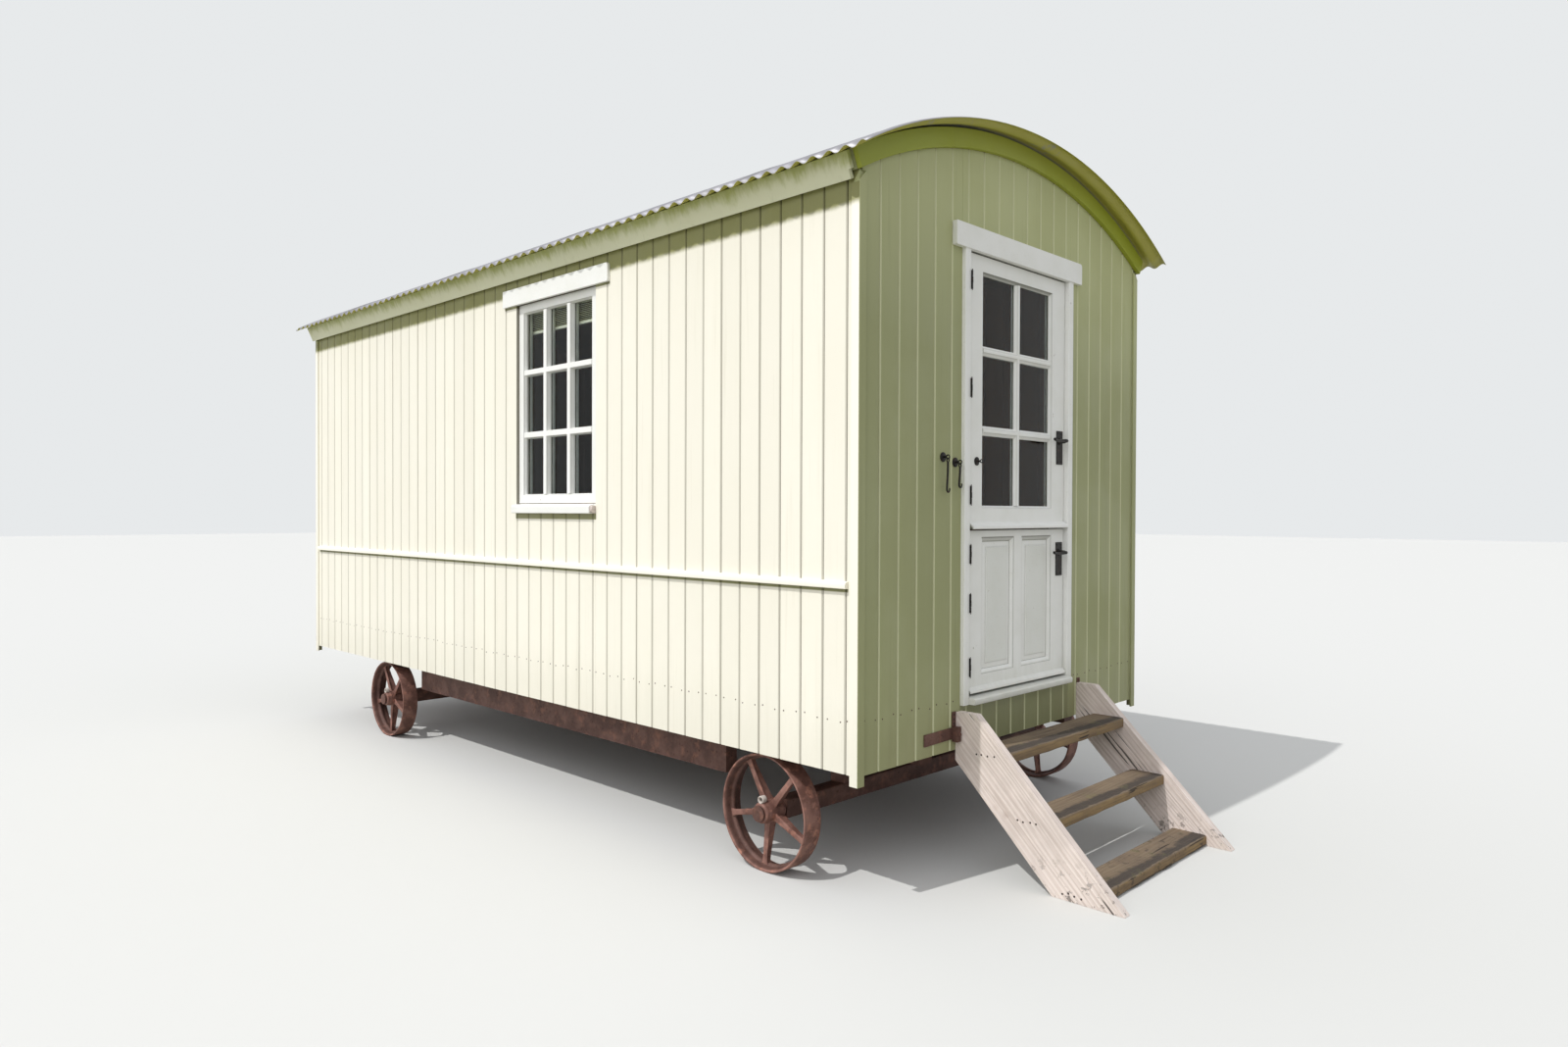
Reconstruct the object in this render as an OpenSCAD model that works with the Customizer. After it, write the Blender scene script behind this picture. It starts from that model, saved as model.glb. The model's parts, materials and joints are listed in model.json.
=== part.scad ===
// Shepherd's hut: a boarded, arch-roofed hut on four cast wheels.
// Millimetres. +Z is up and the ground is z = 0. The door wall faces -Y, the hut's length runs along Y.
// X = 0 is the middle of the width. Heights named _z are above the lower edge of the wall boards.

/* [Body] */
// overall width over the wall boards
body_w = 2134; // [1700:1:2600]
// overall length over the wall boards
body_len = 4877; // [4000:1:6000]
// height of the wall at the eaves, above the lower edge of the boards
wall_h = 2134; // [1750:1:2600]
// thickness of a wall: boards, studs and lining
wall_t = 75; // [60:1:100]
// floor top above the lower edge of the boards
floor_z = 185; // [120:1:220]
// underside of the floor above the lower edge of the boards
floor_under = 45; // [20:1:80]

/* [Roof] */
// rise of the arch over the wall's width
arch_rise = 273; // [200:1:400]
// rafters and boarding between the wall's arch and the sheet
deck_t = 74; // [50:1:110]
// depth of the corrugated sheet
sheet_t = 18; // [12:1:30]
// distance between two crests of the sheet
wave_pitch = 76.2; // [60:0.1:130]
// thickness of the sheet's metal
sheet_gauge = 1.2; // [0.6:0.1:3]
// reach of the sheet past each end wall
verge = 114; // [60:1:200]
// reach of the sheet past each side wall
eaves_reach = 100; // [70:1:160]
// thickness of the arched board over each end wall
frieze_t = 20; // [12:1:30]
// width of the leaning board under the eaves
eaves_w = 98; // [70:1:130]
// thickness of the leaning board under the eaves
eaves_t = 20; // [12:1:30]
// lean of the eaves board from upright, degrees
eaves_lean = 24; // [10:1:35]
// drop of the eaves board's foot below the wall's top edge
eaves_drop = 31; // [10:1:60]

/* [Windows] */
// width of the opening in each side wall
win_w = 690; // [500:1:900]
// height of the opening
win_h = 1005; // [800:1:1200]
// distance of the window's middle from the door wall
win_y = 1926; // [1200:1:2400]
// set-back of the sash behind the boards
sash_back = 24; // [10:1:40]
// depth of the sash
sash_d = 45; // [30:1:50]
// face width of the sash's stiles and rails
stile = 48; // [35:1:70]
// glass thickness
glass_t = 4; // [3:1:8]
// reach of the board over a window past each side of the opening
win_head_over = 110.5; // [60:0.5:160]
// height of the board over a window
win_head_h = 85; // [60:1:110]
// reach of a sill past each side of the opening
sill_over = 5; // [0:1:40]
// height of a sill
sill_h = 45; // [30:1:60]
// reach of a sill past the boards
sill_reach = 28; // [15:1:50]
// drop of the drip rail's top below the windows
drip_drop = 281; // [150:1:320]
// height of the drip rail
drip_h = 28; // [20:1:45]
// reach of the drip rail past the boards
drip_reach = 18; // [10:1:30]

/* [Door] */
// middle of the doorway from the middle of the wall
door_x = -12; // [-200:1:200]
// clear width between the jambs
door_w = 779; // [700:1:850]
// top of the threshold
door_z = 200; // [190:1:230]
// drop of the door's and windows' heads below the top of the side walls
head_drop = 159; // [130:1:220]
// face width of the frame
frame_w = 38; // [30:1:60]
// reach of the jambs past the boards
frame_reach = 17; // [8:1:30]
// reach of the threshold past the boards
sill_step = 45; // [25:1:70]
// thickness of the threshold
threshold_t = 30; // [20:1:40]
// set-back of the leaves' face behind the boards
leaf_back = 4; // [2:1:10]
// thickness of a leaf
leaf_t = 40; // [30:1:50]
// height of the split between the leaves
split_z = 861; // [780:1:950]
// running gap between the leaves and round them
gap = 5; // [5:1:8]
// clearance beside the hinges and at the free edge
side_gap = 6; // [5:0.5:8]
// stile width of a leaf
leaf_stile = 106; // [80:1:130]
// top rail of the upper leaf
leaf_top_rail = 62; // [50:1:100]
// bottom rail of the upper leaf
leaf_mid_rail = 84; // [60:1:120]
// bottom rail of the lower leaf
leaf_low_rail = 68; // [50:1:150]
// top rail of the lower leaf
leaf_lock_rail = 26; // [20:1:80]
// middle stile of the lower leaf
muntin = 57; // [40:1:80]
// depth of the ground round a raised panel
recess = 13; // [6:1:16]
// width of the ground round a raised panel
panel_in = 22; // [10:1:40]
// distance of a panel's flat field from the frame
panel_slope = 42; // [30:1:70]
// reach of the board over the door past each side of the frame
door_head_over = 67.5; // [30:0.5:120]
// height of the board over the door
door_head_h = 94; // [70:1:120]
// length of a hinge
hinge_len = 75; // [60:1:100]
// radius of a hinge's knuckle
knuckle_r = 4.5; // [4:0.5:8]
// radius of a hinge's pin
pin_r = 2.5; // [2:0.5:3]
// gap between a knuckle and the next
knuckle_gap = 1; // [0.5:0.5:2]
// height of the lowest hinge above the lower leaf's foot
hinge_foot = 73; // [40:1:150]
// drop of the lower leaf's top hinge's foot below the split
hinge_below = 131; // [100:1:200]
// height of the upper leaf's first hinge above the split
hinge_above = 104; // [60:1:150]
// drop of the top hinge's foot below the upper leaf's top
hinge_top = 153; // [100:1:200]
// drop of the lower handle's plate below the split
handle_below = 209; // [180:1:250]
// height of the upper handle's plate above the split
handle_above = 289; // [150:1:350]

/* [Wheels] */
// diameter of a wheel
wheel_d = 457; // [380:1:460]
// width of the tyre
tyre_w = 90; // [60:1:110]
// thickness of the tyre
tyre_t = 14; // [10:1:25]
// set-back of the tyre's outer face behind the boards' face
wheel_back = 28; // [22:1:60]
// distance of the front axle from the door wall
axle_front_y = 505; // [400:1:900]
// distance of the rear axle from the rear wall
axle_rear_y = 1032; // [600:1:1300]
// gap between the wheel's top and the boards' lower edge
wheel_gap = 8; // [6:1:30]
// turn of the wheels as they stand, degrees
spoke_turn = 31; // [0:1:71]
// width of a spoke's flat at the hub
spoke_w = 30; // [24:1:36]
// width of a spoke's flat at the rim
spoke_end_w = 26; // [18:1:40]
// thickness of a spoke's flat and of its rib
spoke_t = 10; // [6:1:14]
// depth of the bead inside the rim
rim_bead = 10; // [6:1:16]
// radius of the oil cup beside the hub
cup_r = 14; // [10:1:16]
// number of spokes
spokes = 5; // [4:1:8]
// radius of the hub
hub_r = 44; // [35:1:60]
// reach of the hub past the tyre's outer face
hub_out = 13; // [5:1:15]
// reach of the hub past the tyre's inner face
hub_in = 5; // [0:1:20]
// radius of the axle's spindle
spindle_r = 25; // [20:1:30]
// clearance of the bore round the spindle
bore_gap = 0.3; // [0.1:0.1:0.5]
// end play beside each hub
end_play = 6; // [5:1:10]

/* [Chassis] */
// side of the square axle beam
beam = 75; // [60:1:100]
// width of a chassis rail
rail_w = 75; // [50:1:100]
// depth of a chassis rail
rail_h = 100; // [80:1:150]
// distance of a chassis rail's middle from the middle of the hut
rail_x = 560; // [400:1:700]
// set-back of the side rail behind the boards' face
side_rail_back = 110; // [80:1:140]
// width of a side rail
side_rail_w = 60; // [40:1:80]
// reach of a side rail below the boards
side_rail_drop = 150; // [100:1:180]
// gap between a side rail's end and the wheel
side_rail_gap = 70; // [40:1:150]

/* [Steps] */
// width over both strings
steps_w = 1000; // [800:1:1100]
// middle of the steps from the middle of the wall
steps_x = 29; // [-100:1:100]
// top of the strings above the boards' lower edge
string_top = 150; // [120:1:160]
// flat length on top of a string
string_flat = 93; // [60:1:130]
// thickness of a string
string_t = 38; // [30:1:50]
// width of a string's board
string_w = 200; // [150:1:230]
// top of the first tread
tread_z = 21; // [-20:1:60]
// top of the last tread above the ground
tread_foot = 46; // [45:1:100]
// step from one tread's edge to the next
tread_run = 185; // [170:1:230]
// front edge of the first tread from the wall
tread_out = 235; // [200:1:260]
// depth of a tread
tread_d = 150; // [120:1:180]
// thickness of a tread
tread_t = 42; // [30:1:45]

/* [Hidden] */
$fn = 96;

cream = [0.93, 0.91, 0.82];
sage = [0.55, 0.60, 0.45];
white = [0.95, 0.95, 0.93];
iron = [0.12, 0.11, 0.10];
rust = [0.42, 0.25, 0.18];
zinc = [0.72, 0.73, 0.76];
timber = [0.48, 0.40, 0.35];
glass = [0.25, 0.30, 0.33, 0.5];

hw = body_w / 2;
lift = wheel_d + wheel_gap;
door_top = wall_h - head_drop;
win_z = door_top - win_h;
drip_z = win_z - drip_drop - drip_h;
inner = hw - wall_t;
arch_r = (arch_rise * arch_rise + hw * hw) / (2 * arch_rise);
arch_z = wall_h + arch_rise - arch_r;
trough_r = arch_r + deck_t;
crest_r = trough_r + sheet_t;
string_reach = string_flat + string_top + lift;
y_mid = (body_len + verge - string_reach) / 2;
eaves_z = wall_h - eaves_drop;
frame_half = door_w / 2 + frame_w;
win_head_half = win_w / 2 + win_head_over;
sill_half = win_w / 2 + sill_over;
door_head_half = frame_half + door_head_over;
frame_top = door_top + frame_w;
pin_x = door_x - door_w / 2;
pin_y = -frame_reach - knuckle_r - 0.5;
leaf_x0 = pin_x + side_gap;
leaf_w = door_w - 2 * side_gap;
leaf_low_z = door_z + gap + 2;
leaf_up_z = split_z + gap;
leaf_top_z = door_top - gap;
wheel_z = -wheel_gap - wheel_d / 2;
axle_half = hw - wheel_back - tyre_w - hub_in - end_play;
rear_y = body_len - axle_rear_y;
string_x = steps_w / 2;
string_low = string_top + string_flat - string_w * sqrt(2);

module place() {
  translate([0, -y_mid, lift]) children();
}

module box(x0, x1, y0, y1, z0, z1) {
  translate([x0, y0, z0]) cube([x1 - x0, y1 - y0, z1 - z0]);
}

module prism_x(points, x0, x1) {
  translate([x0, 0, 0]) rotate([90, 0, 90]) linear_extrude(height = x1 - x0) polygon(points);
}

module prism_y(points, y0, y1) {
  translate([0, y1, 0]) rotate([90, 0, 0]) linear_extrude(height = y1 - y0) polygon(points);
}

module arch(r, y0, y1) {
  translate([0, y1, arch_z]) rotate([90, 0, 0]) cylinder(r = r, h = y1 - y0, $fn = 180);
}

// space between the leaning faces of the two eaves boards
module roof_space(y0, y1) {
  x = hw + eaves_w * sin(eaves_lean);
  z = eaves_z + eaves_w * cos(eaves_lean);
  top = wall_h + arch_rise + 2 * deck_t;
  prism_y([[-hw, eaves_z], [hw, eaves_z], [x, z], [x, top], [-x, top], [-x, z]], y0, y1);
}

// a slab of wall cut to the arch
module wall(x0, x1, y0, y1, z0, z1) {
  intersection() {
    box(x0, x1, y0, y1, z0, z1);
    arch(arch_r, -10, body_len + 10);
  }
}

module side_wall(side, y0, y1, z0, z1) {
  if (side < 0) wall(-hw, -inner, y0, y1, z0, z1);
  if (side > 0) wall(inner, hw, y0, y1, z0, z1);
}

module side_box(side, x0, x1, y0, y1, z0, z1) {
  if (side < 0) box(-x1, -x0, y0, y1, z0, z1);
  if (side > 0) box(x0, x1, y0, y1, z0, z1);
}

module floor_slab() {
  color(timber) place() box(-inner, inner, wall_t, body_len - wall_t, floor_under, floor_z);
}

module chassis_rails() {
  color(rust) place()
    for (side = [-1, 1])
      side_box(side, rail_x - rail_w / 2, rail_x + rail_w / 2, wall_t, body_len - wall_t,
        floor_under - rail_h, floor_under);
}

module side_rails() {
  color(rust) place()
    for (side = [-1, 1])
      side_box(side, hw - side_rail_back - side_rail_w, hw - side_rail_back,
        axle_front_y + wheel_d / 2 + side_rail_gap, rear_y - wheel_d / 2 - side_rail_gap, -side_rail_drop, floor_under);
}

module axle_blocks() {
  color(rust) place()
    for (side = [-1, 1])
      for (y = [axle_front_y, rear_y])
        side_box(side, rail_x - rail_w / 2, rail_x + rail_w / 2, y - beam / 2, y + beam / 2,
          wheel_z + beam / 2, floor_under - rail_h);
}

module axle(y) {
  end = hw - wheel_back + hub_out + end_play;
  color(rust) place() translate([0, y, wheel_z]) {
    translate([-axle_half, -beam / 2, -beam / 2]) cube([2 * axle_half, beam, beam]);
    translate([-end, 0, 0]) rotate([0, 90, 0]) cylinder(r = spindle_r, h = 2 * end);
    for (side = [-1, 1])
      translate([side * (end + 4) - 4, 0, 0]) rotate([0, 90, 0]) cylinder(r = spindle_r + 7, h = 8);
  }
}

// from one radius to another: a tapered flat with a rib that thins towards the rim
module spoke(r0, r1) {
  translate([0, 0, 4]) linear_extrude(height = spoke_t)
    polygon([[r0, -spoke_w / 2], [r1, -spoke_end_w / 2], [r1, spoke_end_w / 2], [r0, spoke_w / 2]]);
  rotate([90, 0, 0]) translate([0, 0, -spoke_t / 2]) linear_extrude(height = spoke_t)
    polygon([[r0, 5], [r1, 5], [r1, -12], [r1 - 14, -12], [(r0 + r1) / 2, -20], [r0 + 16, -38], [r0, -40]]);
}

// a wheel about +Z, its outer side up, z = 0 in the middle of the tyre
module wheel_form() {
  r = wheel_d / 2;
  rim = r - tyre_t;
  w = tyre_w / 2;
  difference() {
    union() {
      rotate_extrude() polygon([[rim, -w], [r - 2, -w], [r, 2 - w], [r, w - 2], [r - 2, w], [rim, w], [rim, 13],
        [rim - rim_bead / 2, 8], [rim - rim_bead, 5], [rim - rim_bead, -5], [rim - rim_bead / 2, -8], [rim, -13]]);
      rotate_extrude() polygon([[0, -w - hub_in], [hub_r - 5, -w - hub_in], [hub_r, 9 - w], [hub_r, w - 12],
        [hub_r - 4, w - 4], [hub_r - 4, w + hub_out - 4], [hub_r - 8, w + hub_out], [0, w + hub_out]]);
      for (i = [0 : spokes - 1])
        rotate([0, 0, 360 / spokes * i]) spoke(hub_r - 8, rim + 2);
      rotate([0, 0, -180 / spokes]) translate([hub_r + cup_r * 0.7, 0, -4]) cylinder(r = cup_r, h = w - 3);
    }
    translate([0, 0, -tyre_w]) cylinder(r = spindle_r + bore_gap, h = 3 * tyre_w);
    rotate([0, 0, -180 / spokes]) translate([hub_r + cup_r * 0.7, 0, w - 21]) cylinder(r = cup_r * 0.6, h = w);
  }
}

module wheel(side, y) {
  color(rust) place()
    translate([side * (hw - wheel_back - tyre_w / 2), y, wheel_z]) rotate([0, side * 90, 0])
      rotate([0, 0, spoke_turn + (side > 0 ? 180 : 0)]) wheel_form();
}

module side_wall_front(side) {
  color(cream) place() side_wall(side, 0, win_y - win_w / 2, 0, wall_h + arch_rise);
}

module side_wall_rear(side) {
  color(cream) place() side_wall(side, win_y + win_w / 2, body_len, 0, wall_h + arch_rise);
}

module side_wall_under(side) {
  color(cream) place() side_wall(side, win_y - win_w / 2, win_y + win_w / 2, 0, win_z);
}

module side_wall_over(side) {
  color(cream) place() side_wall(side, win_y - win_w / 2, win_y + win_w / 2, win_z + win_h, wall_h + arch_rise);
}

module front_wall_left() {
  color(sage) place() wall(-inner, door_x - frame_half, 0, wall_t, 0, wall_h + arch_rise);
}

module front_wall_right() {
  color(sage) place() wall(door_x + frame_half, inner, 0, wall_t, 0, wall_h + arch_rise);
}

module front_wall_under() {
  color(sage) place() wall(door_x - frame_half, door_x + frame_half, 0, wall_t, 0, door_z - threshold_t);
}

module front_wall_over() {
  color(sage) place() wall(door_x - frame_half, door_x + frame_half, 0, wall_t, frame_top, wall_h + arch_rise + 1);
}

module rear_wall() {
  color(sage) place() wall(-inner, inner, body_len - wall_t, body_len, 0, wall_h + arch_rise + 1);
}

module corner_trims() {
  proud = 8;
  face = 30;
  low = -35;
  foot = eaves_z - proud * tan(eaves_lean) - 1;
  color(cream) place()
    for (side = [-1, 1])
      for (end = [0, 1]) {
        y_out = end == 0 ? -proud : body_len + proud;
        y_wall = end == 0 ? 0 : body_len;
        y_face = end == 0 ? face : body_len - face;
        side_box(side, hw, hw + proud, min(y_out, y_face), max(y_out, y_face), low, foot);
        side_box(side, hw - face, hw + proud, min(y_out, y_wall), max(y_out, y_wall), low, foot);
      }
}

module drip_rails() {
  color(cream) place()
    for (side = [-1, 1])
      prism_y([[side * hw, drip_z], [side * (hw + drip_reach), drip_z], [side * (hw + drip_reach), drip_z + drip_h - 12],
        [side * (hw + drip_reach - 4), drip_z + drip_h - 4], [side * hw, drip_z + drip_h]], 45, body_len - 45);
}

// a strip of the leaning board, from one distance up its face to another
module eaves_strip(side, w0, w1, y0, y1) {
  s = sin(eaves_lean);
  c = cos(eaves_lean);
  prism_y([[side * (hw + w0 * s), eaves_z + w0 * c], [side * (hw + eaves_t * c + w0 * s), eaves_z - eaves_t * s + w0 * c],
    [side * (hw + eaves_t * c + w1 * s), eaves_z - eaves_t * s + w1 * c], [side * (hw + w1 * s), eaves_z + w1 * c]], y0, y1);
}

// the lower part of each board is notched back at the door end
module eaves_boards() {
  color(sage) place()
    for (side = [-1, 1]) {
      eaves_strip(side, 0, eaves_w, 24, body_len + 30);
      eaves_strip(side, 35, eaves_w, 12, 24);
    }
}

module friezes() {
  color(sage) place()
    for (y = [-frieze_t, body_len])
      difference() {
        intersection() {
          arch(trough_r, y, y + frieze_t);
          roof_space(y - 1, y + frieze_t + 1);
        }
        arch(arch_r, y - 1, y + frieze_t + 1);
      }
}

module roof_deck() {
  color(timber) place()
    difference() {
      intersection() {
        arch(trough_r, 0, body_len);
        roof_space(-1, body_len + 1);
      }
      arch(arch_r, -1, body_len + 1);
    }
}

// a wave of flats and slopes along the hut, six steps to a crest, turned about the arch's middle
module roof_sheet() {
  len = body_len + 2 * verge;
  n = round(len / wave_pitch * 6);
  rise = (sheet_t - sheet_gauge) / (2 * cos(30));
  half = asin((hw + eaves_reach) / crest_r);
  under = [for (i = [0 : n]) [trough_r + rise * (cos(60 * i - 90) + cos(30)), len * i / n]];
  over = [for (i = [n : -1 : 0]) under[i] + [sheet_gauge, 0]];
  color(zinc) place()
    translate([0, -verge, arch_z]) rotate([-90, 0, 0]) rotate([0, 0, -90 - half])
      rotate_extrude(angle = 2 * half, $fn = 180) polygon(concat(under, over));
}

module sash(side) {
  x0 = hw - sash_back - sash_d;
  x1 = hw - sash_back;
  color(white) place()
    difference() {
      side_box(side, x0, x1, win_y - win_w / 2, win_y + win_w / 2, win_z, win_z + win_h);
      side_box(side, x0 - 1, x1 + 1, win_y - win_w / 2 + stile, win_y + win_w / 2 - stile,
        win_z + stile, win_z + win_h - stile);
    }
}

module window_glass() {
  x0 = hw - sash_back - sash_d / 2 - glass_t / 2;
  color(glass) place()
    for (side = [-1, 1])
      side_box(side, x0, x0 + glass_t, win_y - win_w / 2 + stile, win_y + win_w / 2 - stile,
        win_z + stile, win_z + win_h - stile);
}

module head_boards() {
  color(white) place() {
    for (side = [-1, 1])
      side_box(side, hw, hw + 20, win_y - win_head_half, win_y + win_head_half,
        win_z + win_h - 3, win_z + win_h - 3 + win_head_h);
    box(door_x - door_head_half, door_x + door_head_half, -22, 0, door_top, door_top + door_head_h);
  }
}

module window_sills() {
  color(white) place()
    for (side = [-1, 1])
      prism_y([[side * hw, win_z - 3 - sill_h], [side * (hw + sill_reach), win_z - 3 - sill_h],
        [side * (hw + sill_reach), win_z - 14], [side * (hw + sill_reach - 4), win_z - 9], [side * hw, win_z - 3]],
        win_y - sill_half, win_y + sill_half);
}

module door_jambs() {
  color(white) place() {
    box(door_x - frame_half, door_x - door_w / 2, -frame_reach, wall_t, door_z - threshold_t, door_top);
    box(door_x + door_w / 2, door_x + frame_half, -frame_reach, wall_t, door_z - threshold_t, door_top);
  }
}

module door_head() {
  color(white) place() box(door_x - frame_half, door_x + frame_half, 0, wall_t, door_top, frame_top);
}

module door_threshold() {
  color(white) place()
    prism_x([[-sill_step, door_z - threshold_t], [wall_t, door_z - threshold_t], [wall_t, door_z], [0, door_z],
      [4 - sill_step, door_z - 4], [-sill_step, door_z - 8]], door_x - door_w / 2, door_x + door_w / 2);
}

module door_stops() {
  y0 = leaf_back + leaf_t + gap;
  color(white) place() {
    box(door_x - door_w / 2, door_x - door_w / 2 + 12, y0, wall_t, door_z, door_top - 12 - gap);
    box(door_x + door_w / 2 - 12, door_x + door_w / 2, y0, wall_t, door_z, door_top - 12 - gap);
    box(door_x - door_w / 2, door_x + door_w / 2, y0, wall_t, door_top - 12, door_top);
  }
}

// both faces of a panel raised between slopes that start at one inset and end at another
module raised_field(x0, x1, y0, y1, z0, z1) {
  intersection() {
    translate([0, 0, z0 + panel_in]) linear_extrude(height = z1 - z0 - 2 * panel_in)
      polygon(field(x0, x1, y0, y1));
    prism_x([for (p = field(z0, z1, y0, y1)) [p[1], p[0]]], x0 + panel_in, x1 - panel_in);
  }
}

function field(a, b, y0, y1) = [[a + panel_in, y0 + recess], [a + panel_slope, y0 + 6], [b - panel_slope, y0 + 6],
  [b - panel_in, y0 + recess], [b - panel_in, y1 - recess], [b - panel_slope, y1 - 6], [a + panel_slope, y1 - 6],
  [a + panel_in, y1 - recess]];

// weather moulding along a leaf's foot: nose, falling top and drip groove
module weather_mould(z, reach, h) {
  y0 = leaf_back;
  prism_x([[y0, z], [y0 - reach * 0.4, z], [y0 - reach * 0.4, z + 3], [y0 - reach * 0.6, z + 3], [y0 - reach * 0.6, z],
    [y0 - reach + 1, z], [y0 - reach, z + 1], [y0 - reach, z + h * 0.4], [y0 - reach * 0.7, z + h * 0.6],
    [y0 - 3, z + h], [y0, z + h]], leaf_x0 + 14, leaf_x0 + leaf_w);
}

module door_lower() {
  y0 = leaf_back;
  y1 = leaf_back + leaf_t;
  z0 = leaf_low_z + leaf_low_rail;
  z1 = split_z - leaf_lock_rail;
  panel_w = (leaf_w - 2 * leaf_stile - muntin) / 2;
  color(white) place() {
    difference() {
      box(leaf_x0, leaf_x0 + leaf_w, y0, y1, leaf_low_z, split_z);
      for (i = [0, 1]) {
        x0 = leaf_x0 + leaf_stile + i * (panel_w + muntin);
        box(x0, x0 + panel_w, y0 - 1, y0 + recess, z0, z1);
        box(x0, x0 + panel_w, y1 - recess, y1 + 1, z0, z1);
      }
    }
    for (i = [0, 1]) {
      x0 = leaf_x0 + leaf_stile + i * (panel_w + muntin);
      raised_field(x0, x0 + panel_w, y0, y1, z0, z1);
    }
    weather_mould(leaf_low_z, 14, 26);
  }
}

module door_upper() {
  y0 = leaf_back;
  y1 = leaf_back + leaf_t;
  color(white) place() {
    difference() {
      box(leaf_x0, leaf_x0 + leaf_w, y0, y1, leaf_up_z, leaf_top_z);
      box(leaf_x0 + leaf_stile, leaf_x0 + leaf_w - leaf_stile, y0 - 1, y1 + 1,
        leaf_up_z + leaf_mid_rail, leaf_top_z - leaf_top_rail);
    }
    weather_mould(leaf_up_z, 26, 29);
  }
}

module door_glass() {
  y0 = leaf_back + leaf_t / 2 - glass_t / 2;
  color(glass) place()
    box(leaf_x0 + leaf_stile, leaf_x0 + leaf_w - leaf_stile, y0, y0 + glass_t,
      leaf_up_z + leaf_mid_rail, leaf_top_z - leaf_top_rail);
}

// plate with a lever that points to the hinges
module handle(plate_z) {
  lever_z = plate_z + 104;
  x = leaf_x0 + leaf_w - 41;
  color(iron) place() {
    box(x - 26.5, x + 26.5, leaf_back - 4, leaf_back, plate_z, plate_z + 150);
    translate([x, leaf_back - 4, lever_z]) rotate([90, 0, 0]) cylinder(r = 10, h = 42);
    translate([x - 112, leaf_back - 46, lever_z]) {
      rotate([0, 90, 0]) cylinder(r1 = 6, r2 = 8, h = 122);
      sphere(r = 6);
    }
  }
}

// heights of the hinges' feet: two at set distances from a leaf's ends, one between them
low_0 = leaf_low_z + hinge_foot;
low_2 = split_z - hinge_below;
up_0 = split_z + hinge_above;
up_2 = leaf_top_z - hinge_top;
lower_hinges = [low_0, (low_0 + low_2) / 2 + 30, low_2];
upper_hinges = [up_0, (up_0 + up_2) / 2, up_2];

// fixed knuckles at both ends, the pin and the plate on the jamb
module hinge_fixed(z) {
  part = (hinge_len - 2 * knuckle_gap) / 3;
  translate([pin_x, pin_y, z]) {
    for (h = [0, hinge_len - part]) {
      translate([0, 0, h]) cylinder(r = knuckle_r, h = part);
      translate([0, 0, h]) cube([2, 9, part]);
    }
    translate([0, 0, -3]) cylinder(r = pin_r, h = hinge_len + 6);
    translate([0, 8, 0]) cube([2, 38, hinge_len]);
  }
}

// middle knuckle with its bore, and the plate on the leaf
module hinge_moving(z) {
  part = (hinge_len - 2 * knuckle_gap) / 3;
  translate([pin_x, pin_y, z])
    difference() {
      union() {
        translate([0, 0, part + knuckle_gap]) cylinder(r = knuckle_r, h = part);
        translate([side_gap - 3, 0, part + knuckle_gap]) cube([3, 12, part]);
        translate([side_gap - 3, 10, 0]) cube([3, 40, hinge_len]);
      }
      translate([0, 0, -1]) cylinder(r = pin_r + bore_gap, h = hinge_len + 2);
    }
}

module hinges() {
  color(iron) place() {
    for (z = lower_hinges) hinge_fixed(z);
    for (z = upper_hinges) hinge_fixed(z);
  }
}

module hinges_lower() {
  color(iron) place() for (z = lower_hinges) hinge_moving(z);
}

module hinges_upper() {
  color(iron) place() for (z = upper_hinges) hinge_moving(z);
}

module strings() {
  foot = -lift;
  back = string_top + string_flat - string_w * sqrt(2);
  color(timber) place()
    for (x = [steps_x - string_x, steps_x + string_x - string_t])
      prism_x([[0, string_top], [-string_flat, string_top], [-string_reach, foot],
        [-(back - foot), foot], [0, back]], x, x + string_t);
}

module tread(i) {
  front = -tread_out - tread_run * i;
  top = tread_z - (lift + tread_z - tread_foot) / 2 * i;
  color(timber) place()
    prism_x([[front, top - tread_t + 4], [front + 4, top - tread_t], [front + tread_d, top - tread_t], [front + tread_d, top],
      [front + 4, top], [front, top - 4]], steps_x - string_x + string_t, steps_x + string_x - string_t);
}

floor_slab();  // floor
chassis_rails();
side_rails();
axle_blocks();
axle(axle_front_y);  // axle_front
axle(rear_y);  // axle_rear
wheel(-1, axle_front_y);  // wheel_front_left
wheel(1, axle_front_y);  // wheel_front_right
wheel(-1, rear_y);  // wheel_rear_left
wheel(1, rear_y);  // wheel_rear_right
side_wall_front(-1);  // left_wall_front
side_wall_rear(-1);  // left_wall_rear
side_wall_under(-1);  // left_wall_under
side_wall_over(-1);  // left_wall_over
side_wall_front(1);  // right_wall_front
side_wall_rear(1);  // right_wall_rear
side_wall_under(1);  // right_wall_under
side_wall_over(1);  // right_wall_over
front_wall_left();
front_wall_right();
front_wall_under();
front_wall_over();
rear_wall();
corner_trims();
drip_rails();
eaves_boards();
friezes();
roof_deck();
roof_sheet();
sash(-1);  // sash_left
sash(1);  // sash_right
window_glass();
head_boards();
window_sills();
door_jambs();
door_head();
door_threshold();
door_stops();
door_lower();
door_upper();
door_glass();
handle(split_z - handle_below);  // handle_lower
handle(split_z + handle_above);  // handle_upper
hinges();
hinges_lower();
hinges_upper();
strings();
tread(0);  // tread_1
tread(1);  // tread_2
tread(2);  // tread_3
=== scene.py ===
"""Shepherd's hut: boards, joinery, sheet roof, ironwork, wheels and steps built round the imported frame."""
import json
import math

import bmesh
import bpy
import numpy as np
from bpy.props import FloatProperty, FloatVectorProperty, IntProperty, PointerProperty
from mathutils import Matrix, Vector


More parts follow.
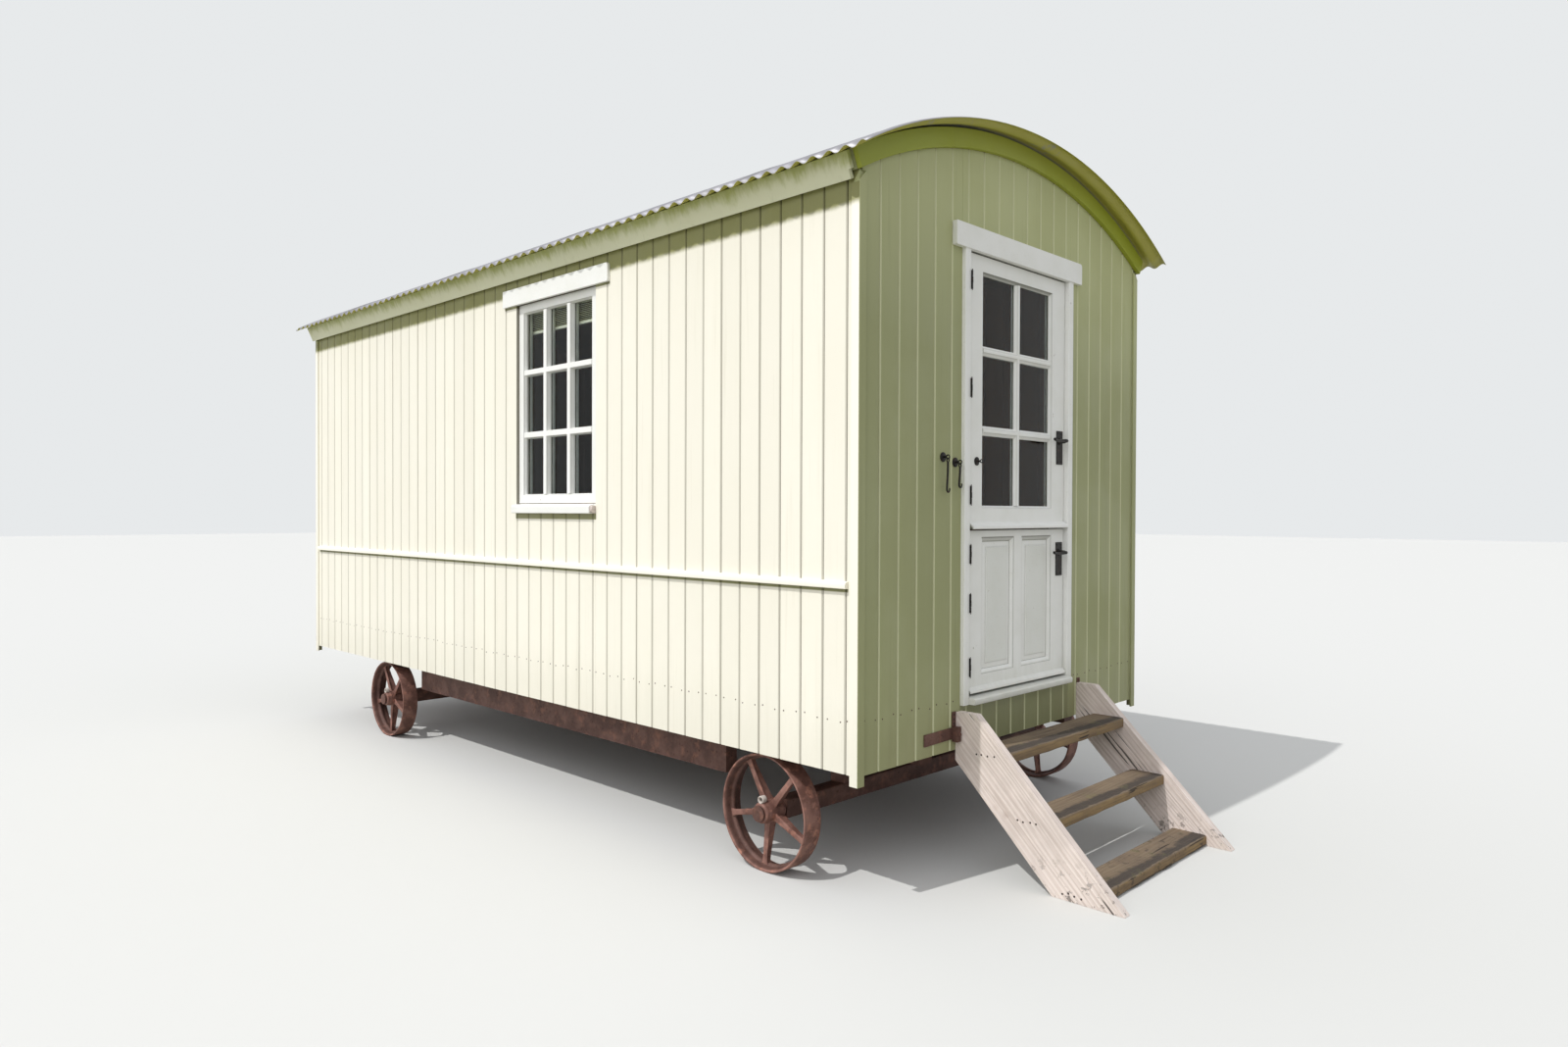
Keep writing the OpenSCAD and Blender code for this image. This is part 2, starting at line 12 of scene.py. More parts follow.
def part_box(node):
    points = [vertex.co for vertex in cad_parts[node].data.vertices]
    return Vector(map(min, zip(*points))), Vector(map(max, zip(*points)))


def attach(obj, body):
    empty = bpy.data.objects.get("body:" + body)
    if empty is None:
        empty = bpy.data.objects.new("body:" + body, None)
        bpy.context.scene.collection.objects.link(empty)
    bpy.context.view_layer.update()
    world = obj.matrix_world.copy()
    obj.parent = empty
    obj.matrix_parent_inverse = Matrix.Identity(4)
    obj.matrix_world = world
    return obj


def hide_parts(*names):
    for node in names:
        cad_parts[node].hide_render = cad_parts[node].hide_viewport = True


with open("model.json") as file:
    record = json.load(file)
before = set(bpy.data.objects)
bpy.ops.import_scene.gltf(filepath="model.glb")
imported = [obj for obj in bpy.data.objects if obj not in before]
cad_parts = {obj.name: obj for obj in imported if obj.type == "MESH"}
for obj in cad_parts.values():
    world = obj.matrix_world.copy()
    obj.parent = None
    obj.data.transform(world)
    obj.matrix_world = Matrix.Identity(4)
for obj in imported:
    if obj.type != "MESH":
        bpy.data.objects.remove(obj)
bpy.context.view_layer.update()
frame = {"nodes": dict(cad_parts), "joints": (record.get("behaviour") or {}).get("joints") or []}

bl_info = {
    "name": "Shepherd's hut finish",
    "version": (1, 0, 0),
    "blender": (4, 5, 0),
    "location": "3D View > Sidebar > Hut",
    "description": "Boards, joinery, sheet roof, ironwork, wheels and steps of a shepherd's hut",
    "category": "Object",
}


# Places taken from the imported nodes, and sizes that several pieces share, in metres

def low(node):
    return np.array(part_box(node)[0])


def high(node):
    return np.array(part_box(node)[1])


def corners(node):
    return low(node), high(node)


X = np.array([1.0, 0.0, 0.0])
Y = np.array([0.0, 1.0, 0.0])
Z = np.array([0.0, 0.0, 1.0])
HALF = high("right_wall_rear")[0]
INNER = low("right_wall_rear")[0]
WALL = HALF - INNER
FRONT = low("left_wall_front")[1]
REAR = high("left_wall_rear")[1]
FOOT = low("left_wall_under")[2]
APEX = high("rear_wall")[2]
SHOULDER = high("left_wall_rear")[2]
ARCH_R = ((APEX - SHOULDER) ** 2 + INNER ** 2) / (2 * (APEX - SHOULDER))
ARCH_Z = APEX - ARCH_R
CREST_R = high("roof_sheet")[2] - ARCH_Z
SHEET_DEPTH = 0.018
TROUGH_R = CREST_R - SHEET_DEPTH
EAVES_Z = FOOT + 2.103
EAVES_LEAN = math.radians(24)
SKIN = 0.018
LINING = 0.012
WINDOW_LO, WINDOW_HI = corners("sash_left")
WINDOW_HEAD = WINDOW_HI[2] - 0.003
HEAD_BOARD_REACH = 0.1105
DOOR_LO, DOOR_HI = low("door_lower"), high("door_upper")
FRAME_LO, FRAME_HI = low("door_jambs"), high("door_head")
LEAF_Y = (FRONT + 0.004, FRONT + 0.044)
JAMB_WIDTH = 0.038
HINGE_R = 0.0027
HINGE_LENGTH = 0.075
HINGE_FEET = {"lower": [FOOT + v for v in (0.280, 0.535, 0.730)],
              "upper": [FOOT + v for v in (0.965, 1.391, 1.817)]}
DOOR_WALL = 3
SPOKES = 5
SPOKE_TURN = 31
STRING_THICK = 0.038
# Place and radius of each knot on the steps' strings
STRING_KNOTS = [((-0.452, -2.324, 0.274), 0.0105), ((-0.452, -2.372, 0.258), 0.0115),
                ((-0.452, -2.443, 0.258), 0.005), ((-0.452, -2.545, 0.262), 0.006),
                ((0.452, -2.41, 0.205), 0.011), ((0.406, -2.36, 0.34), 0.009)]


def arch(x):
    """Height of the wall's arch over a distance from the middle: a circle's upper edge."""
    return ARCH_Z + np.sqrt(np.maximum(ARCH_R ** 2 - np.asarray(x, float) ** 2, 0))


def middle_and_half(a, b):
    return float(a + b) / 2, float(b - a) / 2


def window_head_span():
    """Ends of the window head boards along the hut: equal reach past the window on both sides."""
    return WINDOW_LO[1] - HEAD_BOARD_REACH, WINDOW_HI[1] + HEAD_BOARD_REACH


def linear(r, g, b):
    """A colour read on a screen, 0 to 255, as the linear values that a shader uses."""
    c = np.array([r, g, b]) / 255
    return tuple(float(v) for v in np.where(c <= 0.04045, c / 12.92, ((c + 0.055) / 1.055) ** 2.4))


def shade(paint, *factors):
    """A linear colour with its channels multiplied, by one factor or by one for each, and kept under 1."""
    return tuple(min(1.0, v * f) for v, f in zip(paint, factors * 3 if len(factors) == 1 else factors))


# Settings

def measure(name, text, default, least, most):
    return FloatProperty(name=name, description=text, default=default, min=least, max=most, unit="LENGTH")


def colour(name, text, rgb):
    return FloatVectorProperty(name=name, description=text, subtype="COLOR", size=3, min=0, max=1,
                               default=linear(*rgb))


class HutSizes(bpy.types.PropertyGroup):
    """Sizes that a user would change."""
    board_cover: measure("Board cover", "Width that one wall board covers", 0.1103, 0.06, 0.2)
    groove: measure("Groove", "Width of half of the V between two boards", 0.0054, 0.001, 0.01)
    groove_depth: measure("Groove depth", "Depth of the V between two boards", 0.0050, 0.001, 0.01)
    nail_row: measure("Nail row", "Height of the nail row above the boards' lower edge", 0.19, 0.05, 0.5)
    corrugation: measure("Corrugation", "Distance between two crests of the roof sheet", 0.0762, 0.05, 0.12)
    sheet_cover: IntProperty(name="Sheet cover", description="Corrugations that one roof sheet covers",
                             default=8, min=4, max=12)
    window_bar: measure("Window bar", "Face width of a glazing bar in the side windows", 0.026, 0.015, 0.04)
    door_bar: measure("Door bar", "Face width of a glazing bar in the door", 0.013, 0.01, 0.04)
    blind_foot: measure("Blind foot", "Drop of the raised blind below the window's head", 0.14, 0.05, 0.9)


class HutColours(bpy.types.PropertyGroup):
    """Colours of the finishes."""
    # The long walls' cream and the end walls' sage are one paint: cream is its sunlit look and sage its
    # shaded look, painted light.
    side_paint: colour("Side boards", "Paint of the long walls", (244, 240, 226))
    end_paint: colour("End boards", "Paint of the door wall and the rear wall", (159, 162, 118))
    white_paint: colour("Joinery", "Paint of the doors, windows and their boards", (243, 243, 240))
    rust: colour("Rust", "Cast wheels, axles and rails", (148, 109, 98))
    zinc: colour("Roof sheet", "Weathered galvanised sheet", (150, 149, 156))
    iron: colour("Door furniture", "Black handles, hinges and hooks", (34, 31, 29))
    step_timber: colour("Steps", "Weathered boards of the steps", (238, 225, 218))
    moss: colour("Moss", "Growth on the eaves and the verge", (140, 149, 56))


# Meshes

class Shape:
    """Points and faces gathered from many surfaces, with a finish number, a tint and board coordinates for
    each."""

    def __init__(self):
        self.points, self.faces, self.finish, self.tint, self.grain, self.count = [], [], [], [], [], 0

    def add(self, points, faces, finish=0, tint=0.5, grain=None):
        points = np.asarray(points, float).reshape(-1, 3)
        for face, number in zip(faces, finish if isinstance(finish, list) else [finish] * len(faces)):
            face = np.asarray(face, int)
            self.faces.append(face + self.count)
            self.finish.append(np.broadcast_to(number, len(face)))
        self.points.append(points)
        self.tint.append(np.broadcast_to(np.asarray(tint, float), len(points)))
        self.grain.append(points if grain is None else np.asarray(grain, float).reshape(-1, 3))
        self.count += len(points)

    def build(self, name, body, slot, finishes, replaces=(), bevel=0.0, segments=2, angle=35.0,
              thickness=0.0):
        """One mesh object from the gathered surfaces, its faces turned outwards, riding on a body."""
        mesh = bpy.data.meshes.new(name)
        points = np.concatenate(self.points)
        loops = np.concatenate([f.ravel() for f in self.faces]).astype(np.int32)
        sizes = np.concatenate([np.full(len(f), f.shape[1]) for f in self.faces])
        mesh.vertices.add(len(points))
        mesh.vertices.foreach_set("co", points.astype(np.float32).ravel())
        mesh.loops.add(len(loops))
        mesh.loops.foreach_set("vertex_index", loops)
        mesh.polygons.add(len(sizes))
        mesh.polygons.foreach_set("loop_start", np.concatenate([[0], np.cumsum(sizes)[:-1]]).astype(np.int32))
        mesh.polygons.foreach_set("material_index", np.concatenate(self.finish).astype(np.int32))
        mesh.update(calc_edges=True)
        tint = mesh.attributes.new("tint", "FLOAT", "POINT")
        tint.data.foreach_set("value", np.concatenate(self.tint).astype(np.float32))
        grain = mesh.attributes.new("grain", "FLOAT_VECTOR", "POINT")
        grain.data.foreach_set("vector", np.concatenate(self.grain).astype(np.float32).ravel())
        mesh.validate()
        if not thickness:
            work = bmesh.new()
            work.from_mesh(mesh)
            bmesh.ops.recalc_face_normals(work, faces=work.faces)
            work.to_mesh(mesh)
            work.free()
        mesh.polygons.foreach_set("use_smooth", np.ones(len(mesh.polygons), bool))
        if not bevel:
            mesh.set_sharp_from_angle(angle=math.radians(angle))
        piece = bpy.data.objects.new(name, mesh)
        bpy.context.scene.collection.objects.link(piece)
        for finish in finishes:
            mesh.materials.append(material(finish))
        if thickness:
            solid = piece.modifiers.new("Thickness", "SOLIDIFY")
            solid.thickness = thickness
            solid.offset = 0
        if bevel:
            edge = piece.modifiers.new("Worn edges", "BEVEL")
            edge.width = bevel
            edge.segments = segments
            edge.limit_method = "ANGLE"
            edge.angle_limit = math.radians(angle)
            edge.harden_normals = True
        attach(piece, body)
        if replaces:
            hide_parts(*replaces)
        return piece


def prism(shape, profile, base, across, depth, along, start, end, finish=0, tint=0.5, seed=0.0, flat=False):
    """A closed outline carried straight along one axis: point = base + a*across + d*depth + t*along, t from
    start to end. start and end may differ from point to point of the outline, which cuts the ends to a line
    or an arch, and so may the finish. A third column of the outline is its tint. The grain runs along the
    axis, or along the outline if flat."""
    profile = np.asarray(profile, float)
    if profile.shape[1] > 2:
        profile, tint = profile[:, :2], profile[:, 2]
    k = len(profile)
    base, across, depth, along = (np.asarray(v, float) for v in (base, across, depth, along))
    section = base + profile[:, :1] * across + profile[:, 1:] * depth
    ends = [np.broadcast_to(np.asarray(t, float), k)[:, None] for t in (start, end)]
    points = np.concatenate([section + t * along for t in ends])
    grain = np.concatenate([np.concatenate([profile, t] if flat else [t, profile], 1) for t in ends])
    grain = grain + [seed, seed * 3.1, seed]
    finish = np.broadcast_to(finish, k)
    shape.add(points, prism_faces(k), [finish, finish[:1], finish[:1]], np.tile(np.broadcast_to(tint, k), 2),
              grain)


def block(shape, lo, hi, along="z", finish=0, tint=0.5, seed=0.0):
    """A box between two corners, its grain along one axis."""
    lo, hi = np.minimum(lo, hi), np.maximum(lo, hi)
    axes = {"x": (Y, Z, X), "y": (X, Z, Y), "z": (X, Y, Z)}[along]
    span = [(float(lo @ a), float(hi @ a)) for a in axes]
    outline = [(span[0][0], span[1][0]), (span[0][1], span[1][0]), (span[0][1], span[1][1]),
               (span[0][0], span[1][1])]
    prism(shape, outline, (0, 0, 0), *axes, *span[2], finish=finish, tint=tint, seed=seed)


def grid_faces(rows, columns, wrap_rows=False, wrap_columns=False):
    """Four-sided faces over a grid of points numbered row by row."""
    r = np.arange(rows if wrap_rows else rows - 1)[:, None]
    c = np.arange(columns if wrap_columns else columns - 1)[None]
    r1, c1 = (r + 1) % rows, (c + 1) % columns
    square = [r * columns + c, r * columns + c1, r1 * columns + c1, r1 * columns + c]
    return np.stack(square, -1).reshape(-1, 4)


def closed_tube(rows, columns):
    """Faces over a grid whose rows are closed rings, with one face over the first ring and one over the
    last."""
    ring = np.arange(columns)[None]
    return [grid_faces(rows, columns, wrap_columns=True), ring, ring + (rows - 1) * columns]


def prism_faces(k):
    """Faces of a prism whose outline has k points: its sides and its two ends."""
    i = np.arange(k)
    j = (i + 1) % k
    return [np.stack([i, j, j + k, i + k], 1), i[None, ::-1], i[None] + k]


def turned(shape, profile, base, axis, sides=24, finish=0, tint=0.5):
    """A profile of (radius, height) turned about an axis: point = base + h*axis + r*(cos a, sin a); radius
    0 closes in a pole."""
    axis = np.asarray(axis, float) / np.linalg.norm(axis)
    side = np.cross(axis, X if abs(axis[0]) < 0.9 else Y)
    side /= np.linalg.norm(side)
    other = np.cross(axis, side)
    a = np.arange(sides) * 2 * math.pi / sides
    ring = np.cos(a)[:, None] * side + np.sin(a)[:, None] * other
    profile = np.asarray(profile, float)
    open_rows = profile[:, 0] > 1e-9
    body = profile[open_rows]
    base = np.asarray(base, float)
    points = (base + body[:, 1, None, None] * axis + body[:, 0, None, None] * ring[None]).reshape(-1, 3)
    faces = [grid_faces(len(body), sides, wrap_columns=True)]
    caps = np.arange(sides)
    for at_start in (True, False):
        row = 0 if at_start else len(body) - 1
        if not open_rows[0 if at_start else -1]:
            pole = len(points)
            points = np.concatenate([points, [base + profile[0 if at_start else -1, 1] * axis]])
            faces.append(np.stack([row * sides + caps, row * sides + (caps + 1) % sides,
                                   np.full(sides, pole)], 1))
        else:
            faces.append((row * sides + caps)[None])
    shape.add(points, faces, finish, tint)


def tube(shape, path, radius, sides=10, finish=0, tint=0.5, flat=1.0):
    """A round or flattened bar along a line of points: a ring of the given radius stands square to the line
    at each point, turned against the axis that the line keeps most nearly square to."""
    path = np.asarray(path, float)
    radius = np.broadcast_to(np.asarray(radius, float), len(path))
    ahead = np.gradient(path, axis=0)
    ahead /= np.linalg.norm(ahead, axis=1)[:, None]
    reference = (X, Y, Z)[int(np.abs(ahead).max(0).argmin())]
    normal = np.cross(ahead, reference)
    normal /= np.linalg.norm(normal, axis=1)[:, None]
    other = np.cross(ahead, normal)
    a = np.arange(sides) * 2 * math.pi / sides
    ring = np.cos(a)[None, :, None] * normal[:, None] + flat * np.sin(a)[None, :, None] * other[:, None]
    points = (path[:, None] + radius[:, None, None] * ring).reshape(-1, 3)
    shape.add(points, closed_tube(len(path), sides), finish, tint)


def revolved(shape, section, base, axis, sides, finish=0, tint=0.2):
    """A closed section of (radius, height) turned all the way about an axis: a ring with that section."""
    section, base, axis = (np.asarray(v, float) for v in (section, base, axis))
    side = np.cross(axis, X if abs(axis[0]) < 0.9 else Y)
    side = side / np.linalg.norm(side)
    a = np.arange(sides) * 2 * math.pi / sides
    spoke = np.cos(a)[:, None] * side + np.sin(a)[:, None] * np.cross(axis, side)
    points = base + section[None, :, 1, None] * axis + section[None, :, 0, None] * spoke[:, None]
    shape.add(points, [grid_faces(sides, len(section), True, True)], finish, tint)


def wire_ring(shape, centre, radius, wire, normal, tint=0.5):
    """A ring of round wire."""
    a = np.arange(8) * math.pi / 4
    revolved(shape, np.stack([radius + wire * np.cos(a), wire * np.sin(a)], 1), centre, normal, 20, tint=tint)


def seeded(*key):
    """A repeatable number stream for one piece."""
    return np.random.default_rng([1789, *key])


# Shader parts

def put(tree, kind, values=(), links=(), **settings):
    """A node with its settings, its socket values and its incoming links."""
    node = tree.nodes.new(kind)
    for name, value in settings.items():
        setattr(node, name, value)
    for name, value in dict(values).items():
        node.inputs[name].default_value = value
    for name, source in dict(links).items():
        tree.links.new(source, node.inputs[name])
    return node


def maths(tree, operation, *terms):
    """A sum of one, two or three terms, each of them a number or a node's output."""
    node = put(tree, "ShaderNodeMath", operation=operation)
    for i, v in enumerate(terms):
        if isinstance(v, (int, float)):
            node.inputs[i].default_value = v
        else:
            tree.links.new(v, node.inputs[i])
    return node.outputs[0]


def times(tree, a, b):
    return maths(tree, "MULTIPLY", a, b)


def split(tree, vector):
    """The three parts of a vector, by the names X, Y and Z."""
    return put(tree, "ShaderNodeSeparateXYZ", links={"Vector": vector}).outputs


def ramp(tree, source, lo, hi, out_lo=0.0, out_hi=1.0):
    node = put(tree, "ShaderNodeMapRange", {"From Min": lo, "From Max": hi, "To Min": out_lo,
                                            "To Max": out_hi},
               {"Value": source}, interpolation_type="SMOOTHSTEP")
    return node.outputs["Result"]


def linked_ramp(tree, source, lo, hi):
    """0 at lo and 1 at hi, both of them other nodes' outputs."""
    node = put(tree, "ShaderNodeMapRange", links={"Value": source, "From Min": lo, "From Max": hi},
               interpolation_type="SMOOTHSTEP")
    return node.outputs["Result"]


def mix(tree, factor, a, b):
    node = put(tree, "ShaderNodeMix", data_type="RGBA", blend_type="MIX")
    for socket, v in ((node.inputs["Factor"], factor), (node.inputs[6], a), (node.inputs[7], b)):
        if hasattr(v, "is_output"):
            tree.links.new(v, socket)
        elif isinstance(v, (int, float)):
            socket.default_value = v
        else:
            socket.default_value = (*v, 1.0) if len(v) == 3 else v
    return node.outputs[2]


def stretched(tree, vector, scale):
    return put(tree, "ShaderNodeMapping", {"Scale": scale}, {"Vector": vector}).outputs["Vector"]


def noise(tree, vector, scale, detail=4.0, roughness=0.55):
    values = {"Scale": scale, "Detail": detail, "Roughness": roughness}
    return put(tree, "ShaderNodeTexNoise", values, {"Vector": vector}).outputs["Fac"]


def group(name, inputs, outputs, fill):
    """A shader node group built once; fill(tree, ins) returns its output sockets' sources by name."""
    if name in bpy.data.node_groups:
        return bpy.data.node_groups[name]
    tree = bpy.data.node_groups.new(name, "ShaderNodeTree")
    for title, kind, value in inputs:
        socket = tree.interface.new_socket(title, in_out="INPUT", socket_type=kind)
        if value is not None:
            socket.default_value = value
    for title, kind in outputs:
        tree.interface.new_socket(title, in_out="OUTPUT", socket_type=kind)
    ins = tree.nodes.new("NodeGroupInput").outputs
    end = tree.nodes.new("NodeGroupOutput")
    for title, source in fill(tree, ins).items():
        tree.links.new(source, end.inputs[title])
    return tree


VECTOR, FLOAT = "NodeSocketVector", "NodeSocketFloat"


def grain_group():
    """Long fibres: noise on coordinates drawn out along the board, with growth rings bent by a slower
    noise."""
    def fill(tree, ins):
        fine = noise(tree, stretched(tree, ins["Board"], (3.0, 130.0, 130.0)), 1.0, 5.0, 0.6)
        bend = noise(tree, stretched(tree, ins["Board"], (1.2, 9.0, 9.0)), 1.0, 2.0)
        across = split(tree, ins["Board"])
        rings = maths(tree, "SINE", maths(tree, "ADD", times(tree, across["Y"], 380.0),
                                          times(tree, bend, 26.0)))
        rings = maths(tree, "MULTIPLY_ADD", rings, 0.5, 0.5)
        mask = maths(tree, "ADD", times(tree, fine, 0.65), times(tree, rings, 0.35))
        return {"Fibre": fine, "Rings": rings, "Mask": mask}
    return group("Wood grain", [("Board", VECTOR, None)],
                 [("Fibre", FLOAT), ("Rings", FLOAT), ("Mask", FLOAT)], fill)


def blotch_group():
    """Soft patches: noise whose values between Low and High run from 0 to 1."""
    def fill(tree, ins):
        node = put(tree, "ShaderNodeTexNoise", {"Detail": 5.0, "Roughness": 0.6},
                   {"Vector": ins["Vector"], "Scale": ins["Scale"]})
        return {"Mask": linked_ramp(tree, node.outputs["Fac"], ins["Low"], ins["High"])}
    return group("Patches", [("Vector", VECTOR, None), ("Scale", FLOAT, 3.0), ("Low", FLOAT, 0.4),
                             ("High", FLOAT, 0.6)],
                 [("Mask", FLOAT)], fill)


def band_group():
    """A ragged band by height: 1 at Full, 0 at Clear, its edge broken by streaks that run up and down."""
    def fill(tree, ins):
        height = split(tree, ins["Vector"])["Z"]
        streak = noise(tree, stretched(tree, ins["Vector"], (22.0, 22.0, 2.5)), 1.0, 5.0, 0.65)
        shift = times(tree, maths(tree, "SUBTRACT", streak, 0.5), ins["Ragged"])
        level = maths(tree, "ADD", height, shift)
        return {"Mask": linked_ramp(tree, level, ins["Clear"], ins["Full"]), "Streaks": streak}
    return group("Height band", [("Vector", VECTOR, None), ("Full", FLOAT, 0.0), ("Clear", FLOAT, 0.1),
                                 ("Ragged", FLOAT, 0.1)],
                 [("Mask", FLOAT), ("Streaks", FLOAT)], fill)


def pits_group():
    """Cast or rusted skin: fine noise for the grain and round cells for the pits."""
    def fill(tree, ins):
        scaled = put(tree, "ShaderNodeVectorMath", links={0: ins["Vector"]}, operation="SCALE")
        tree.links.new(ins["Scale"], scaled.inputs["Scale"])
        fine = noise(tree, scaled.outputs[0], 2.2, 8.0, 0.7)
        cells = put(tree, "ShaderNodeTexVoronoi", {"Scale": 1.0},
                    {"Vector": scaled.outputs[0]}).outputs["Distance"]
        pit = ramp(tree, cells, 0.0, 0.35)
        height = maths(tree, "ADD", times(tree, fine, 0.7), times(tree, pit, 0.3))
        return {"Height": height, "Pits": pit}
    return group("Pitted skin", [("Vector", VECTOR, None), ("Scale", FLOAT, 60.0)],
                 [("Height", FLOAT), ("Pits", FLOAT)], fill)


def use(tree, made, values=(), links=()):
    """A node that holds a group; its outputs."""
    return put(tree, "ShaderNodeGroup", values, links, node_tree=made).outputs


def wood_grain(tree, on_board):
    """The grain group's outputs on the board coordinates."""
    return use(tree, grain_group(), links={"Board": on_board})


def blotches(tree, place, scale, clear, full):
    """The patches group's mask: 0 where its noise is under clear, 1 where it is over full."""
    return use(tree, blotch_group(), {"Scale": scale, "Low": clear, "High": full}, {"Vector": place})["Mask"]


def height_band(tree, place, full, clear, ragged):
    """The height band group's mask."""
    return use(tree, band_group(), {"Full": full, "Clear": clear, "Ragged": ragged},
               {"Vector": place})["Mask"]


def begin(name):
    """A new material with its shader, its object coordinates, its board coordinates and its tint."""
    made = bpy.data.materials.new(name)
    made.use_nodes = True
    tree = made.node_tree
    shader = tree.nodes["Principled BSDF"]
    place = tree.nodes.new("ShaderNodeTexCoord").outputs["Object"]
    on_board = put(tree, "ShaderNodeAttribute", attribute_name="grain").outputs["Vector"]
    tint = put(tree, "ShaderNodeAttribute", attribute_name="tint").outputs["Fac"]
    return made, tree, shader, place, on_board, tint


def dress(tree, shader, base, rough, metal=0.0):
    """The shader's colour, roughness and metal, each of them a number or a node's output."""
    for name, v in (("Base Color", base), ("Roughness", rough), ("Metallic", metal)):
        if isinstance(v, float):
            shader.inputs[name].default_value = v
        else:
            tree.links.new(v, shader.inputs[name])


def bump(tree, shader, height, distance, strength=1.0):
    node = put(tree, "ShaderNodeBump", {"Strength": strength, "Distance": distance}, {"Height": height})
    tree.links.new(node.outputs["Normal"], shader.inputs["Normal"])


def painted_boards(name, paint, foot_dirt, moss=(), upward_lightening=0.0, shadow_lines=()):
    """Brushed paint over wood: each board a shade off its neighbour, grain that shows through, splashed
    foot, dirty streaks, a band between two heights (full, clear, raggedness, strength, colour) used for
    moss and for painted shadow, paint lighter towards the top and the +x end, a painted shadow line under
    each ledge (its underside, the line's width, the ledge's middle along the hut and half of its length),
    a painted highlight where the tint is over 1 and painted shade where it is under 0."""
    made, tree, shader, place, on_board, tint = begin(name)
    grain = wood_grain(tree, on_board)
    patches = blotches(tree, place, 2.2, 0.35, 0.7)
    foot = height_band(tree, place, FOOT - 0.02, FOOT + 0.34, 0.3)
    parts = split(tree, place)
    base = mix(tree, ramp(tree, tint, 0.0, 1.0, 0.0, 0.16), paint, shade(paint, 0.72))
    # Lighter towards the top and the +x end; on the verge boards this is painted light.
    if upward_lightening:
        run = ramp(tree, maths(tree, "ADD", times(tree, parts["X"], 0.15), parts["Z"]), 1.9, 2.8, 0.0, upward_lightening)
        base = mix(tree, run, base, shade(paint, 1.5))
    base = mix(tree, times(tree, patches, 0.10), base, shade(paint, 0.80, 0.78, 0.70))
    streaks = ramp(tree, noise(tree, stretched(tree, place, (30.0, 30.0, 1.1)), 1.0, 4.0, 0.6), 0.56, 0.78,
                   0.0, 0.22)
    base = mix(tree, streaks, base, shade(paint, 0.62, 0.60, 0.52))
    base = mix(tree, times(tree, foot, foot_dirt), base, linear(122, 118, 84))
    # A band between two heights: moss on the friezes, painted shadow under the eaves, moss and painted shade
    # along the eaves boards' top.
    if moss:
        *band, strength, green = moss
        base = mix(tree, times(tree, height_band(tree, place, *band), strength), base, green)
    soft = 0.002
    # Painted shadow: a dark line on the boards under each ledge.
    for under, width, middle, half in shadow_lines:
        lower = ramp(tree, parts["Z"], under - width - soft, under - width + soft)
        line = times(tree, lower, ramp(tree, parts["Z"], under + soft / 2, under))
        away = maths(tree, "ABSOLUTE", maths(tree, "SUBTRACT", parts["Y"], middle))
        line = times(tree, line, ramp(tree, away, half + soft, half - soft, 0.0, 0.92))
        base = mix(tree, line, base, linear(126, 126, 74))
    base = mix(tree, ramp(tree, grain["Fibre"], 0.60, 0.80, 0.0, 0.12), base, shade(paint, 0.6))
    # Painted highlight: Vs whose tint is over 1 turn lighter.
    base = mix(tree, ramp(tree, tint, 1.05, 1.9, 0.0, 0.8), base, linear(214, 215, 176))
    # Painted shade where the tint is under 0: slots between boards, the side walls' Vs and the edges at a
    # window; under the door the boards are darker too.
    base = mix(tree, ramp(tree, tint, 0.0, -1.0, 0.0, 0.92), base, linear(66, 60, 38))
    dress(tree, shader, base, ramp(tree, patches, 0.0, 1.0, 0.48, 0.66))
    brush = noise(tree, stretched(tree, on_board, (9.0, 420.0, 420.0)), 1.0, 3.0)
    height = maths(tree, "ADD", times(tree, grain["Mask"], 0.6), times(tree, brush, 0.4))
    bump(tree, shader, height, 0.0008, 0.45)
    return made


def white_joinery(name, paint):
    """Gloss paint with brush marks, yellowed and greyed in patches, bare grey wood where it has worn
    through, greyer as the tint rises, and painted shade where the tint is under 0."""
    made, tree, shader, place, on_board, tint = begin(name)
    grain = wood_grain(tree, on_board)
    patches = blotches(tree, place, 7.0, 0.35, 0.75)
    worn = blotches(tree, place, 24.0, 0.70, 0.74)
    foot = height_band(tree, place, FOOT + 0.14, FOOT + 0.34, 0.16)
    # Greyer as the tint rises: each piece's own tone, and painted shade on the door panels' fields.
    base = mix(tree, ramp(tree, tint, 0.1, 1.0, 0.0, 0.5), paint, shade(paint, 0.68, 0.70, 0.64))
    base = mix(tree, times(tree, patches, 0.14), base, linear(206, 206, 186))
    specks = ramp(tree, noise(tree, place, 160.0, 3.0, 0.6), 0.66, 0.74, 0.0, 0.35)
    base = mix(tree, specks, base, linear(150, 146, 120))
    base = mix(tree, times(tree, foot, 0.28), base, linear(150, 148, 118))
    base = mix(tree, times(tree, worn, ramp(tree, grain["Fibre"], 0.45, 0.6)), base, linear(142, 132, 116))
    # Painted shade where the tint is under 0: gaps, rebates, quirks and undersides.
    base = mix(tree, ramp(tree, tint, 0.0, -1.0, 0.0, 0.92), base, linear(78, 76, 50))
    dress(tree, shader, base, ramp(tree, patches, 0.0, 1.0, 0.30, 0.5))
    brush = noise(tree, stretched(tree, on_board, (7.0, 380.0, 380.0)), 1.0, 3.0)
    bump(tree, shader, maths(tree, "ADD", brush, times(tree, grain["Rings"], 0.25)), 0.0006, 0.4)
    return made


